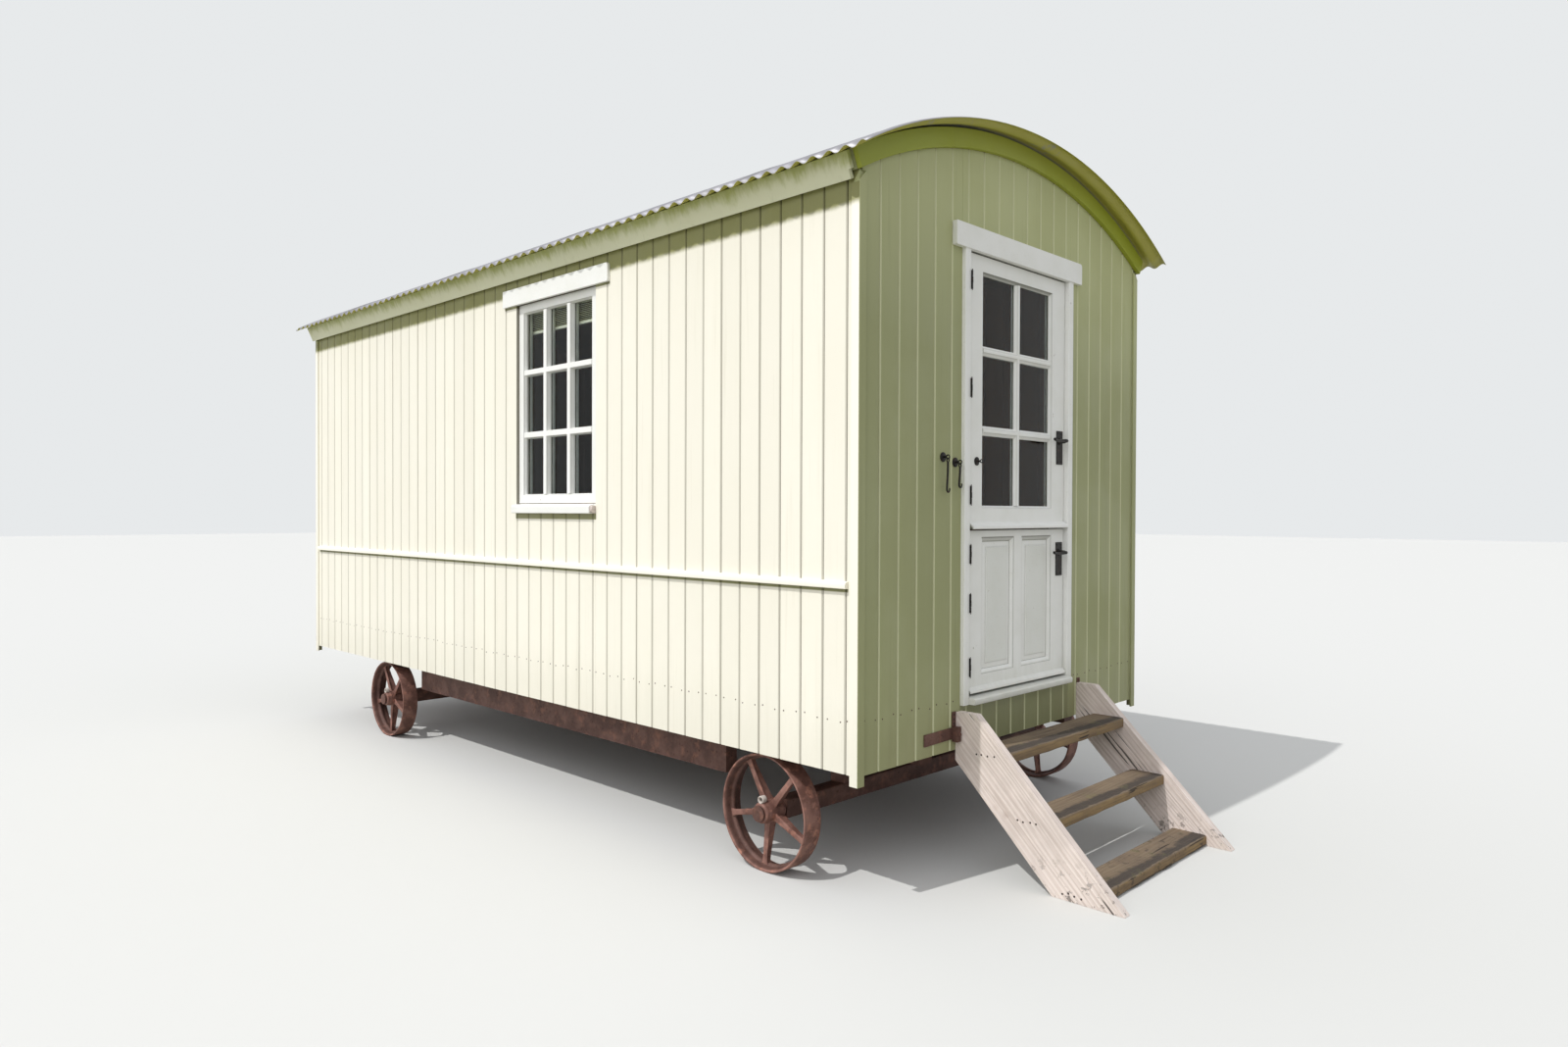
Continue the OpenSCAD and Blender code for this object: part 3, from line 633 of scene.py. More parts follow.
def rusted(name, rust, scale=1.0):
    """Layered rust: dark scale, brown skin and pale orange bloom, with a pitted cast surface."""
    made, tree, shader, place, _, tint = begin(name)
    skin = use(tree, pits_group(), {"Scale": 70.0 * scale}, {"Vector": place})
    patches = blotches(tree, place, 14.0 * scale, 0.38, 0.66)
    bloom = blotches(tree, place, 32.0 * scale, 0.52, 0.72)
    base = mix(tree, patches, shade(rust, 0.52, 0.46, 0.44), rust)
    base = mix(tree, times(tree, bloom, 0.65), base, shade(rust, 1.75, 1.55, 1.35))
    base = mix(tree, ramp(tree, skin["Height"], 0.30, 0.55, 0.45, 0.0), base, linear(44, 32, 28))
    base = mix(tree, ramp(tree, tint, 0.5, 1.0, 0.0, 0.8), base, linear(214, 208, 200))
    base = mix(tree, ramp(tree, tint, 0.0, -0.5, 0.0, 0.6), base, linear(62, 42, 36))
    dress(tree, shader, base, ramp(tree, skin["Height"], 0.2, 0.8, 0.9, 0.62), 0.15)
    bump(tree, shader, skin["Height"], 0.0025, 0.55)
    return made


def galvanised(name, zinc, moss):
    """Old zinc: large soft spangle, chalky bloom, dull streaks down the arch, and moss under the verge and
    along the eaves."""
    made, tree, shader, place, _, tint = begin(name)
    warp = noise(tree, place, 5.0, 3.0)
    spangle = put(tree, "ShaderNodeTexVoronoi", {"Scale": 55.0, "Randomness": 1.0},
                  {"Vector": place}).outputs["Color"]
    spangle = put(tree, "ShaderNodeSeparateColor", links={"Color": spangle}).outputs["Red"]
    bloom = blotches(tree, place, 3.0, 0.35, 0.7)
    base = mix(tree, ramp(tree, spangle, 0.0, 1.0, 0.0, 0.22), zinc, shade(zinc, 0.7))
    base = mix(tree, times(tree, bloom, 0.4), base, linear(172, 170, 172))
    down = noise(tree, stretched(tree, place, (1.2, 16.0, 1.2)), 1.0, 5.0, 0.65)
    base = mix(tree, ramp(tree, down, 0.5, 0.75, 0.0, 0.5), base, linear(120, 116, 112))
    base = mix(tree, ramp(tree, tint, 0.5, 1.0, 0.0, 0.5), base, linear(110, 80, 62))
    parts = split(tree, place)
    side = ramp(tree, maths(tree, "ABSOLUTE", parts["X"]), HALF - 0.15, HALF + 0.09)
    ends = ramp(tree, maths(tree, "ABSOLUTE", maths(tree, "SUBTRACT", parts["Y"], (FRONT + REAR) / 2)),
                (REAR - FRONT) / 2, (REAR - FRONT) / 2 + 0.021)
    facing = split(tree, tree.nodes.new("ShaderNodeNewGeometry").outputs["True Normal"])
    under = ramp(tree, facing["Z"], 0.25, -0.25)
    patch = ramp(tree, noise(tree, place, 9.0, 5.0, 0.65), 0.26, 0.42)
    growth = times(tree, times(tree, maths(tree, "MAXIMUM", side, ends), under), patch)
    base = mix(tree, times(tree, growth, 0.85), base, moss)
    dress(tree, shader, base, ramp(tree, warp, 0.3, 0.7, 0.42, 0.6),
          ramp(tree, growth, 0.0, 0.6, 0.55, 0.0))
    bump(tree, shader, maths(tree, "ADD", down, times(tree, spangle, 0.3)), 0.0006, 0.3)
    return made


def weathered_timber(name, wood, dark, lichen, strength, checked, knots=()):
    """Silvered softwood: raised fibres, open checks along the grain, knots (place, radius), weather stains,
    scuffs near the ground, black mould where the tint is over 1 and bare brown wood where it is under 0."""
    made, tree, shader, place, on_board, tint = begin(name)
    grain = wood_grain(tree, on_board)
    patches = blotches(tree, place, 6.0, 0.35, 0.7)
    base = mix(tree, ramp(tree, tint, 0.0, 1.0, 0.0, 0.5), wood, shade(wood, 0.5))
    base = mix(tree, ramp(tree, tint, 0.0, -0.5, 0.0, 0.85), base, linear(150, 124, 82))
    base = mix(tree, ramp(tree, grain["Rings"], 0.2, 0.9, 0.0, 0.42 * strength), base,
               shade(wood, 0.62, 0.55, 0.5))
    base = mix(tree, ramp(tree, grain["Fibre"], 0.46, 0.66, 0.0, 0.55 * strength), base,
               shade(wood, 0.5, 0.44, 0.4))
    base = mix(tree, times(tree, patches, dark), base, linear(86, 72, 64))
    checks = ramp(tree, noise(tree, stretched(tree, on_board, (2.4, 62.0, 62.0)), 1.0, 2.0, 0.4), checked,
                  checked + 0.03)
    base = mix(tree, times(tree, checks, 0.85), base, linear(42, 34, 30))
    for centre, radius in knots:
        away = put(tree, "ShaderNodeVectorMath", {1: centre}, {0: place},
                   operation="DISTANCE").outputs["Value"]
        ragged = times(tree, maths(tree, "SUBTRACT", noise(tree, place, 90.0, 2.0), 0.5), radius * 0.7)
        away = maths(tree, "ADD", away, ragged)
        base = mix(tree, ramp(tree, away, radius * 2.4, radius, 0.0, 0.45), base, linear(150, 118, 104))
        base = mix(tree, ramp(tree, away, radius * 1.05, radius * 0.75, 0.0, 0.92), base, linear(48, 38, 36))
    ragged = times(tree, maths(tree, "SUBTRACT", noise(tree, place, 11.0, 6.0, 0.7), 0.5), 1.6)
    mould = maths(tree, "ADD", tint, ragged)
    base = mix(tree, ramp(tree, mould, 1.15, 1.6, 0.0, 0.8), base, linear(50, 45, 44))
    near = ramp(tree, split(tree, place)["Z"], 0.17, 0.02)
    scuffs = ramp(tree, noise(tree, place, 26.0, 5.0, 0.7), 0.56, 0.62)
    base = mix(tree, times(tree, times(tree, scuffs, near), 0.7), base, linear(62, 54, 50))
    growth = ramp(tree, noise(tree, place, 13.0, 6.0, 0.7), 0.56, 0.68, 0.0, lichen)
    base = mix(tree, growth, base, linear(128, 128, 74))
    dress(tree, shader, base, 0.86)
    relief = maths(tree, "SUBTRACT", grain["Mask"], times(tree, checks, 0.9))
    bump(tree, shader, relief, 0.003, 0.6)
    return made


def plain_timber(name, wood, board_width, axis, edge=()):
    """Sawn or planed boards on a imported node: joints every board width across one axis, grain along the
    hut, edges outside the walls painted."""
    made, tree, shader, place, _, _ = begin(name)
    along = put(tree, "ShaderNodeMapping", {"Rotation": (0, 0, -math.pi / 2)},
                {"Vector": place}).outputs["Vector"]
    grain = wood_grain(tree, along)
    parts = split(tree, place)
    count = maths(tree, "DIVIDE", parts[axis], board_width)
    share = maths(tree, "FRACT", count)
    joint = ramp(tree, maths(tree, "ABSOLUTE", maths(tree, "SUBTRACT", share, 0.5)), 0.475, 0.495)
    index = maths(tree, "FLOOR", count)
    each = put(tree, "ShaderNodeTexWhiteNoise", links={"W": index}, noise_dimensions="1D")
    base = mix(tree, ramp(tree, each.outputs["Value"], 0.0, 1.0, 0.0, 0.35), wood, shade(wood, 0.6))
    base = mix(tree, ramp(tree, grain["Mask"], 0.35, 0.75, 0.0, 0.45), base, shade(wood, 0.6, 0.5, 0.4))
    base = mix(tree, joint, base, shade(wood, 0.22))
    if edge:
        outside = ramp(tree, maths(tree, "ABSOLUTE", parts["X"]), HALF - 0.03, HALF - 0.015)
        base = mix(tree, outside, base, edge)
    dress(tree, shader, base, 0.6)
    bump(tree, shader, maths(tree, "SUBTRACT", times(tree, grain["Mask"], 0.3), joint), 0.003, 0.6)
    return made


def black_iron(name, iron):
    """Japanned iron: hammered skin, brown rust in the worn hollows."""
    made, tree, shader, place, _, _ = begin(name)
    skin = use(tree, pits_group(), {"Scale": 260.0}, {"Vector": place})
    worn = blotches(tree, place, 60.0, 0.56, 0.72)
    base = mix(tree, times(tree, worn, 0.6), iron, linear(92, 58, 42))
    dress(tree, shader, base, ramp(tree, skin["Height"], 0.2, 0.8, 0.62, 0.42), 0.6)
    bump(tree, shader, skin["Height"], 0.0006, 0.5)
    return made


def window_glass(name):
    """Old drawn glass: clear, faintly green, its surface gently wavy."""
    made, tree, shader, place, _, _ = begin(name)
    shader.inputs["Base Color"].default_value = (0.90, 0.94, 0.92, 1)
    shader.inputs["Roughness"].default_value = 0.02
    shader.inputs["IOR"].default_value = 1.17
    shader.inputs["Transmission Weight"].default_value = 1.0
    bump(tree, shader, noise(tree, place, 3.2, 2.0), 0.004, 0.25)
    return made


def blind_slats(name):
    """Pale blind slats with a faint warm mottling."""
    made, tree, shader, place, _, tint = begin(name)
    patches = blotches(tree, place, 30.0, 0.3, 0.7)
    base = mix(tree, times(tree, patches, 0.2), linear(236, 235, 192), linear(212, 210, 168))
    base = mix(tree, ramp(tree, tint, 0.3, 1.0, 0.0, 0.8), base, linear(240, 238, 224))
    dress(tree, shader, base, 0.55)
    bump(tree, shader, patches, 0.0005, 0.3)
    return made


def dark_slot(name):
    """A dark surface that paints the shade inside a keyhole, a screw slot or an old nail hole."""
    made, tree, shader, place, _, _ = begin(name)
    base = mix(tree, noise(tree, place, 220.0, 2.0), linear(28, 22, 18), linear(58, 42, 34))
    dress(tree, shader, base, 0.8)
    return made


def side_shadow_lines():
    """What casts the painted shadow lines on the side boards: the window sill, the window head board and the
    drip rail, as painted_boards asks."""
    shadow_lines = [(WINDOW_HEAD, 0.011, *middle_and_half(*window_head_span()))]
    for node, width in (("window_sills", 0.027), ("drip_rails", 0.012)):
        lo, hi = corners(node)
        shadow_lines.append((lo[2], width, *middle_and_half(lo[1], hi[1])))
    return shadow_lines


def material(finish):
    """The finish by its name, built when it is first asked for. A band of growth or of painted shadow is
    (full, clear, raggedness, strength, colour)."""
    if finish in bpy.data.materials:
        return bpy.data.materials[finish]
    c = bpy.context.scene.hut_colours
    side, end, white, moss = (tuple(v) for v in (c.side_paint, c.end_paint, c.white_paint, c.moss))
    # Painted shadow: a dark olive band on the side boards under the eaves, where the sheet's shadow falls.
    eaves_shadow = (EAVES_Z - 0.070, EAVES_Z - 0.098, 0.012, 0.95, linear(128, 128, 68))
    # Moss along the eaves boards' top, strongest under the sheet: moss and painted shade of the sheet
    # together.
    over_eaves = (EAVES_Z + 0.085, EAVES_Z + 0.025, 0.12, 0.8, linear(160, 168, 78))
    over_arch = (APEX + 0.1, APEX - 0.1, 0.1, 0.6, linear(156, 158, 58))
    step_wood, tread_wood = tuple(c.step_timber), shade(c.step_timber, 0.31, 0.265, 0.19)
    makers = {
        "Side boards": lambda n: painted_boards(n, side, 0.10, eaves_shadow, shadow_lines=side_shadow_lines()),
        "End boards": lambda n: painted_boards(n, end, 0.22, upward_lightening=0.88),
        # The eaves boards' paint is paler than the end walls' sage though it is the same paint: painted
        # light.
        "Eaves boards": lambda n: painted_boards(n, linear(222, 223, 192), 0.0, over_eaves),
        # The verge boards' lightening towards the top and the +x end is painted light.
        "Verge boards": lambda n: painted_boards(n, linear(142, 150, 40), 0.0, over_arch, 0.45),
        "White joinery": lambda n: white_joinery(n, white),
        "Rusty cast iron": lambda n: rusted(n, tuple(c.rust)),
        "Rusty steel": lambda n: rusted(n, shade(c.rust, 0.50, 0.48, 0.46), 0.6),
        "Galvanised sheet": lambda n: galvanised(n, tuple(c.zinc), shade(moss, 1.8, 1.48, 0.84)),
        "Step strings": lambda n: weathered_timber(n, step_wood, 0.16, 0.06, 0.62, 0.68, STRING_KNOTS),
        "Step treads": lambda n: weathered_timber(n, tread_wood, 0.4, 0.25, 1.0, 0.66),
        "Lining boards": lambda n: painted_boards(n, linear(134, 92, 56), 0.0),
        "Roof boards": lambda n: plain_timber(n, linear(128, 98, 68), 0.12, "X", shade(end, 0.8)),
        "Floor boards": lambda n: plain_timber(n, linear(104, 74, 50), 0.14, "X"),
        "Black iron": lambda n: black_iron(n, tuple(c.iron)),
        "Window glass": window_glass,
        "Blind": blind_slats,
        "Dark slot": dark_slot,
    }
    return makers[finish](finish)


def finish_node(node, finish):
    """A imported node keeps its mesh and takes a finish."""
    piece = frame["nodes"][node]
    piece.data.materials.clear()
    piece.data.materials.append(material(finish))


# Walls

class Face:
    """One boarded face, outside or in the room: where it lies, which way runs across it, which way the
    thickness of its boards goes, and the tints of the two sides of its Vs: painted highlight and shade."""

    def __init__(self, base, across, depth, lo, hi, first, thick=SKIN, vees=(0.2, 0.2)):
        self.base, self.across, self.depth = base, across, depth
        self.lo, self.hi, self.first = lo, hi, first
        self.thick, self.vees = thick, vees


def board_edges(face, cover):
    """The lines between boards, at one spacing from the first line, with the face's own ends."""
    count = int((face.hi - face.first) / cover) + 1
    lines = face.first + cover * np.arange(count)
    return np.concatenate([[face.lo], lines[(lines > face.lo + 0.005) & (lines < face.hi - 0.005)],
                           [face.hi]])


def board(shape, face, a0, a1, z0, z1, vee0, vee1, rng, tint, seed):
    """One tongued board: a flat face with a V at each edge that has one, its top cut to a height that may
    vary across it. The slot between boards is painted shade, and so are the edges at a window where the
    paint is pale."""
    s = bpy.context.scene.hut_sizes
    gap, v, d, back = 0.0011, s.groove, s.groove_depth, face.thick
    lift = rng.uniform(-0.0003, 0.0003)
    vee = [(gap, back, -1.0), (gap, d + 0.002, -1.0), (gap, d, None), (v, lift + 0.0003, None),
           (v + 0.0012, lift, tint)]
    painted_shade = -0.75 if face.vees[0] < 0 else tint
    plain = [(0.0, back, painted_shade), (0.0, lift + 0.0012, painted_shade), (0.0006, lift, tint)]
    left = [(a0 + a, b, face.vees[0] if t is None else t) for a, b, t in (vee if vee0 else plain)]
    right = [(a1 - a, b, face.vees[1] if t is None else t) for a, b, t in (vee if vee1 else plain)[::-1]]
    inside = [(a0 + (a1 - a0) * t, lift, tint) for t in (0.33, 0.67)] if a1 - a0 > 0.03 else []
    profile = np.array(left + inside + right)
    top = z1(profile[:, 0]) if callable(z1) else z1
    prism(shape, profile, face.base, face.across, face.depth, Z, z0, top, seed=seed)


def boarded(shape, face, bottom, top, hole, key):
    """A run of boards over a face, cut round one opening (across from, across to, height from, height to).
    Under the door they are darker."""
    s = bpy.context.scene.hut_sizes
    edges = board_edges(face, s.board_cover)
    rng = seeded(key)
    for a0, a1 in zip(edges[:-1], edges[1:]):
        tint, seed = rng.uniform(0, 1), rng.uniform(0, 40)
        drop = rng.uniform(0, 0.0008)
        if hole is None or a1 <= hole[0] or a0 >= hole[1]:
            board(shape, face, a0, a1, bottom + drop, top, True, True, rng, tint, seed)
            continue
        m0, m1 = max(a0, hole[0]), min(a1, hole[1])
        if a0 < hole[0]:
            board(shape, face, a0, hole[0], bottom + drop, top, True, False, rng, tint, seed)
        if a1 > hole[1]:
            board(shape, face, hole[1], a1, bottom + drop, top, False, True, rng, tint, seed)
        low_tint = -0.28 - 0.1 * tint if key == DOOR_WALL else tint
        board(shape, face, m0, m1, bottom + drop, hole[2], a0 >= hole[0], a1 <= hole[1], rng, low_tint, seed)
        board(shape, face, m0, m1, hole[3], top, a0 >= hole[0], a1 <= hole[1], rng, tint, seed)


def nails(shape, face, height, cover, hole, key):
    """Small nail heads, two to a board, in one row."""
    rng = seeded(key, 7)
    edges = board_edges(face, cover)
    for a0, a1 in zip(edges[:-1], edges[1:]):
        for share in (0.2, 0.8):
            a = a0 + (a1 - a0) * share + rng.uniform(-0.004, 0.004)
            if a1 - a0 < 0.05 or (hole and hole[0] - 0.01 < a < hole[1] + 0.01
                                  and hole[2] < height < hole[3]):
                continue
            z = height + rng.uniform(-0.006, 0.006)
            base = face.base + a * face.across + Z * z
            turned(shape, [(0.0032, 0.001), (0.0030, -0.0006), (0, -0.0009)], base, face.depth, sides=7,
                   tint=-0.5)


def core(shape, node, sideways):
    """What stands between the boards and the lining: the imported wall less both, its top cut to the arch."""
    lo, hi = corners(node)
    if sideways:
        side = 1 if hi[0] > 0 else -1
        x = np.array([side * (HALF - SKIN), side * (INNER + LINING)])
        top = np.minimum(arch(x), hi[2]) if hi[2] > EAVES_Z else np.array([hi[2]] * 2)
        outline = [(x[0], lo[2]), (x[1], lo[2]), (x[1], top[1]), (x[0], top[0])]
        prism(shape, outline, (0, 0, 0), X, Z, Y, max(lo[1], FRONT + SKIN), min(hi[1], REAR - SKIN))
        return
    y = (FRONT + SKIN, hi[1] - LINING) if hi[1] < 0 else (lo[1] + LINING, REAR - SKIN)
    across = np.linspace(max(lo[0], -INNER - LINING), min(hi[0], INNER + LINING), 25)
    top = arch(across) if hi[2] > EAVES_Z else np.full(25, hi[2])
    outline = np.concatenate([[(across[0], lo[2]), (across[-1], lo[2])], np.stack([across, top], 1)[::-1]])
    prism(shape, outline, (0, 0, 0), X, Z, Y, *y)


def wall_faces():
    """For each wall its outer boards and its lining in the room, with the same first line between boards."""
    side, end = FRONT + 0.0564, -HALF + 0.0072
    # Tints of the Vs: on the side walls both sides painted shade, on the end walls one side a painted
    # highlight and the other painted shade.
    cream, sage = (-0.42, -0.42), (1.9, -0.2)
    ends, room = (-HALF + SKIN, HALF - SKIN), (FRONT + WALL, REAR - WALL)
    return {
        "left": (Face(-HALF * X, Y, X, FRONT, REAR, side, vees=cream),
                 Face(-INNER * X, Y, -X, *room, side, LINING)),
        "right": (Face(HALF * X, Y, -X, FRONT, REAR, side, vees=cream),
                  Face(INNER * X, Y, X, *room, side, LINING)),
        "front": (Face(FRONT * Y, X, Y, *ends, end, vees=sage),
                  Face(room[0] * Y, X, -Y, -INNER, INNER, end, LINING)),
        "rear": (Face(REAR * Y, X, -Y, *ends, end, vees=sage),
                 Face(room[1] * Y, X, Y, -INNER, INNER, end, LINING)),
    }


class HUT_OT_wall_boards(bpy.types.Operator):
    """Tongued boards, nails and linings of the four walls"""
    bl_idname = "hut.wall_boards"
    bl_label = "Wall boards"

    def execute(self, context):
        s = context.scene.hut_sizes
        window = (WINDOW_LO[1], WINDOW_HI[1], WINDOW_LO[2], WINDOW_HI[2])
        under_sill = (*window[:2], WINDOW_LO[2] - 0.022, window[3])
        door = (FRAME_LO[0], FRAME_HI[0], FRAME_LO[2], FRAME_HI[2])
        floor = high("floor")[2]
        runs = [("left", "Side boards", "cream_boards", under_sill, 1),
                ("right", "Side boards", "cream_boards", under_sill, 2),
                ("front", "End boards", "sage_boards", door, DOOR_WALL),
                ("rear", "End boards", "sage_boards", None, 4)]
        faces = wall_faces()
        for name, finish, slot, hole, key in runs:
            outer, lining = faces[name]
            sideways = name in ("left", "right")
            shape = Shape()
            boarded(shape, outer, FOOT, float(arch(HALF)) if sideways else arch, hole, key)
            nodes = [n for n in frame["nodes"] if n.startswith(name + "_wall")]
            shape.build(f"{name}_boards", "hut", slot, [finish], replaces=nodes)
            inside = Shape()
            for node in nodes:
                core(inside, node, sideways)
            boarded(inside, lining, floor, float(arch(INNER + LINING)) if sideways else arch,
                    window if sideways else hole, key + 10)
            inside.build(f"{name}_lining", "hut", "bare_timber", ["Lining boards"])
            heads = Shape()
            nails(heads, outer, FOOT + s.nail_row, s.board_cover, hole, key)
            heads.build(f"{name}_nails", "hut", "rusty_iron", ["Rusty steel"])
        return {"FINISHED"}


class HUT_OT_trims(bpy.types.Operator):
    """Corner trims, drip rails, eaves boards and arched friezes"""
    bl_idname = "hut.trims"
    bl_label = "Trims and eaves"

    def execute(self, context):
        shape = Shape()
        for side in (-1, 1):
            for y, out in ((FRONT, -1), (REAR, 1)):
                key = int(side > 0) * 2 + int(out > 0)
                outline = [(-0.03, 0), (0, 0), (0, 0.03), (0.008, 0.03), (0.008, -0.0065), (0.0065, -0.008),
                           (-0.03, -0.008)]
                top = np.array([0.031, 0.031, -0.012, -0.012, -0.012, -0.004, 0.031]) + EAVES_Z - 0.004
                # Each face of a trim takes the paint of the wall it faces, cream or sage, and so the same
                # painted light as the walls.
                prism(shape, outline, (side * HALF, y, 0), side * X, -out * Y, Z, FOOT - 0.035, top,
                      [1, 1, 0, 0, 1, 1, 1], tint=0.3, seed=key * 5.0)
        shape.build("corner_trim_boards", "hut", "cream_boards", ["Side boards", "End boards"],
                    replaces=["corner_trims"], bevel=0.0018)
        rails = Shape()
        lo, hi = corners("drip_rails")
        for side in (-1, 1):
            outline = [(0, lo[2]), (0.0175, lo[2] + 0.001), (0.018, hi[2] - 0.012), (0.014, hi[2] - 0.004),
                       (0, hi[2])]
            prism(rails, outline, (side * HALF, 0, 0), side * X, Z, Y, lo[1], hi[1], tint=0.2,
                  seed=3.0 + side)
        rails.build("drip_rail_mouldings", "hut", "cream_boards", ["Side boards"], replaces=["drip_rails"],
                    bevel=0.0015)
        self.eaves()
        self.friezes()
        return {"FINISHED"}

    def eaves(self):
        """Leaning board on each side; at the door end its lower part is notched back."""
        lean = np.array([math.sin(EAVES_LEAN), 0, math.cos(EAVES_LEAN)])
        out = np.array([math.cos(EAVES_LEAN), 0, -math.sin(EAVES_LEAN)])
        lo, hi = corners("eaves_boards")
        shape = Shape()
        for side in (-1, 1):
            mirror = np.array([side, 1, 1])
            y0, y1 = lo[1], hi[1] - 0.003
            outline = [(y0 + 0.012, 0.0015), (y1, 0.0015), (y1, 0.098), (y0, 0.098), (y0, 0.036),
                       (y0 + 0.012, 0.034)]
            prism(shape, outline, (side * HALF, 0, EAVES_Z), Y, lean * mirror, out * mirror, 0.0002, 0.02,
                  tint=0.4, seed=8.0 + side, flat=True)
        shape.build("eaves_fascias", "hut", "sage_boards", ["Eaves boards"], replaces=["eaves_boards"],
                    bevel=0.002)

    def friezes(self):
        """Arched board: for each radius between the wall's arch and the sheet, the angle runs out to the
        eaves board's plane."""
        shape = Shape()
        n = 61
        radii = np.array([ARCH_R, TROUGH_R])
        s, c = math.sin(EAVES_LEAN), math.cos(EAVES_LEAN)
        z0 = EAVES_Z - ARCH_Z
        b = HALF * s + z0 * c
        t = -b + np.sqrt(b * b - (HALF ** 2 + z0 ** 2 - radii ** 2))
        limit = np.arctan2(HALF + t * s, z0 + t * c)
        u = np.linspace(-1, 1, n)
        for y0, y1, key in ((FRONT - 0.02, FRONT, 1), (REAR, REAR + 0.02, 2)):
            ring = []
            for r, a in ((0, y0), (1, y0), (1, y1), (0, y1)):
                angle = u * limit[r]
                ring.append(np.stack([radii[r] * np.sin(angle), np.full(n, a),
                                      ARCH_Z + radii[r] * np.cos(angle)], 1))
            points = np.stack(ring, 1)
            grain = np.stack([points[..., 0] + key * 9, points[..., 2] * 0 + np.array([0, 0.074, 0.074, 0]),
                              points[..., 1]], -1)
            shape.add(points, closed_tube(n, 4), tint=0.45, grain=grain)
        shape.build("arched_friezes", "hut", "sage_boards", ["Verge boards"], replaces=["friezes"],
                    bevel=0.0018, angle=50)


class HUT_OT_roof(bpy.types.Operator):
    """Corrugated sheets bent over the arch, their fixings, and the boards under them"""
    bl_idname = "hut.roof"
    bl_label = "Roof"

    def execute(self, context):
        s = context.scene.hut_sizes
        lo, hi = corners("roof_sheet")
        pitch = s.corrugation
        total = int((hi[1] - lo[1]) / pitch)
        first = lo[1] + pitch * 0.25
        reach = math.asin((hi[0] - 0.001) / TROUGH_R)
        shape = Shape()
        cuts = np.concatenate([[lo[1]], first + pitch * np.arange(s.sheet_cover, total - 2, s.sheet_cover),
                               [hi[1]]])
        for index, (y0, y1) in enumerate(zip(cuts[:-1], cuts[1:])):
            self.sheet(shape, y0, y1 + (pitch if y1 < hi[1] else 0), first, pitch, reach, index)
        shape.build("corrugated_sheets", "hut", "zinc_sheet", ["Galvanised sheet"], replaces=["roof_sheet"],
                    thickness=0.0009)
        self.fixings(first, pitch, total, reach)
        finish_node("roof_deck", "Roof boards")
        return {"FINISHED"}

    def sheet(self, shape, y0, y1, first, pitch, reach, index):
        """One sheet: radius = middle + half the depth * cos(2 pi (y - first) / pitch). Rolling keeps every
        line over the arch as long as it was flat, so the angle that it reaches falls as the radius grows
        and the crests end short of the troughs."""
        rng = seeded(31, index)
        along = np.linspace(y0, y1, int(round((y1 - y0) / pitch * 12)) + 1)
        y, share = np.meshgrid(along, np.linspace(-1, 1, 41), indexing="ij")
        wave = np.cos(2 * math.pi * (y - first) / pitch)
        lap = 0.0007 * (1 if index % 2 else -1)
        radius = TROUGH_R + SHEET_DEPTH / 2 + 0.0003 + (SHEET_DEPTH / 2 - 0.0014) * wave + lap
        a = share * reach * (TROUGH_R + 0.001) / radius + rng.uniform(-0.0004, 0.0004)
        radius = radius + 0.0006 * np.sin(a * 9 + index) * np.sin(y * 2.1)
        points = np.stack([radius * np.sin(a), y, ARCH_Z + radius * np.cos(a)], -1)
        shape.add(points, [grid_faces(*y.shape)], tint=0.0)

    def fixings(self, origin, pitch, total, reach):
        """Domed screws with washers on the crests, five rows over the arch."""
        shape = Shape()
        crest = CREST_R - 0.0008
        screw = [(0.010, -0.0051), (0.010, -0.0043), (0.0045, -0.0037), (0.0042, -0.0015), (0.0022, -0.0003),
                 (0, 0)]
        for row, share in enumerate((-0.93, -0.48, 0.0, 0.48, 0.93)):
            a = share * reach
            out = np.array([math.sin(a), 0, math.cos(a)])
            for k in range(2 + row % 2, total, 4):
                base = out * crest + np.array([0, origin + k * pitch, ARCH_Z])
                turned(shape, screw, base, out, sides=8, tint=0.9)
        shape.build("roof_fixings", "hut", "rusty_iron", ["Galvanised sheet"])


# Joinery

def eased(outline, radius, steps=3):
    """A closed outline with rounded corners: at each one a parabola from the edge before to the edge after,
    radius away."""
    p = np.asarray(outline, float)
    radius = np.broadcast_to(np.asarray(radius, float), len(p))
    ways = []
    for other in (np.roll(p, 1, 0), np.roll(p, -1, 0)):
        way = other - p
        size = np.maximum(np.linalg.norm(way, axis=1), 1e-9)
        ways.append(way / size[:, None] * np.minimum(radius, size * 0.45)[:, None])
    t = np.linspace(0, 1, steps + 1)[None, :, None]
    start, end = ((p + way)[:, None] for way in ways)
    curve = start * (1 - t) ** 2 + 2 * t * (1 - t) * p[:, None] + end * t ** 2
    curve = curve.reshape(-1, 2)
    keep = np.linalg.norm(curve - np.roll(curve, 1, 0), axis=1) > 1e-6
    return curve[keep]


def framed(shape, profile, base, u, v, depth, span_u, span_v, widths, shades=(0, 0, 0, 0), **look):
    """Four members round an opening, mitred: the profile's inner half moves with each member's width, and
    its tints by each member's painted shade (low u, high u, low v, high v)."""
    profile = np.asarray(profile, float)
    nominal = profile[:, 0].max()
    inner = profile[:, 0] > nominal / 2
    base, u, v, depth = (np.asarray(q, float) for q in (base, u, v, depth))
    at = [profile[:, 0] + inner * (w - nominal) for w in widths]
    for k in range(4):
        side, run, sides, span = (u, v, span_u, span_v) if k < 2 else (v, u, span_v, span_u)
        before, after = at[2:] if k < 2 else at[:2]
        outline = np.column_stack([at[k], profile[:, 1], profile[:, 2:] + shades[k]])
        prism(shape, outline, base + sides[k % 2] * side, side if k % 2 == 0 else -side, depth, run,
              span[0] + before, span[1] - after, **look)


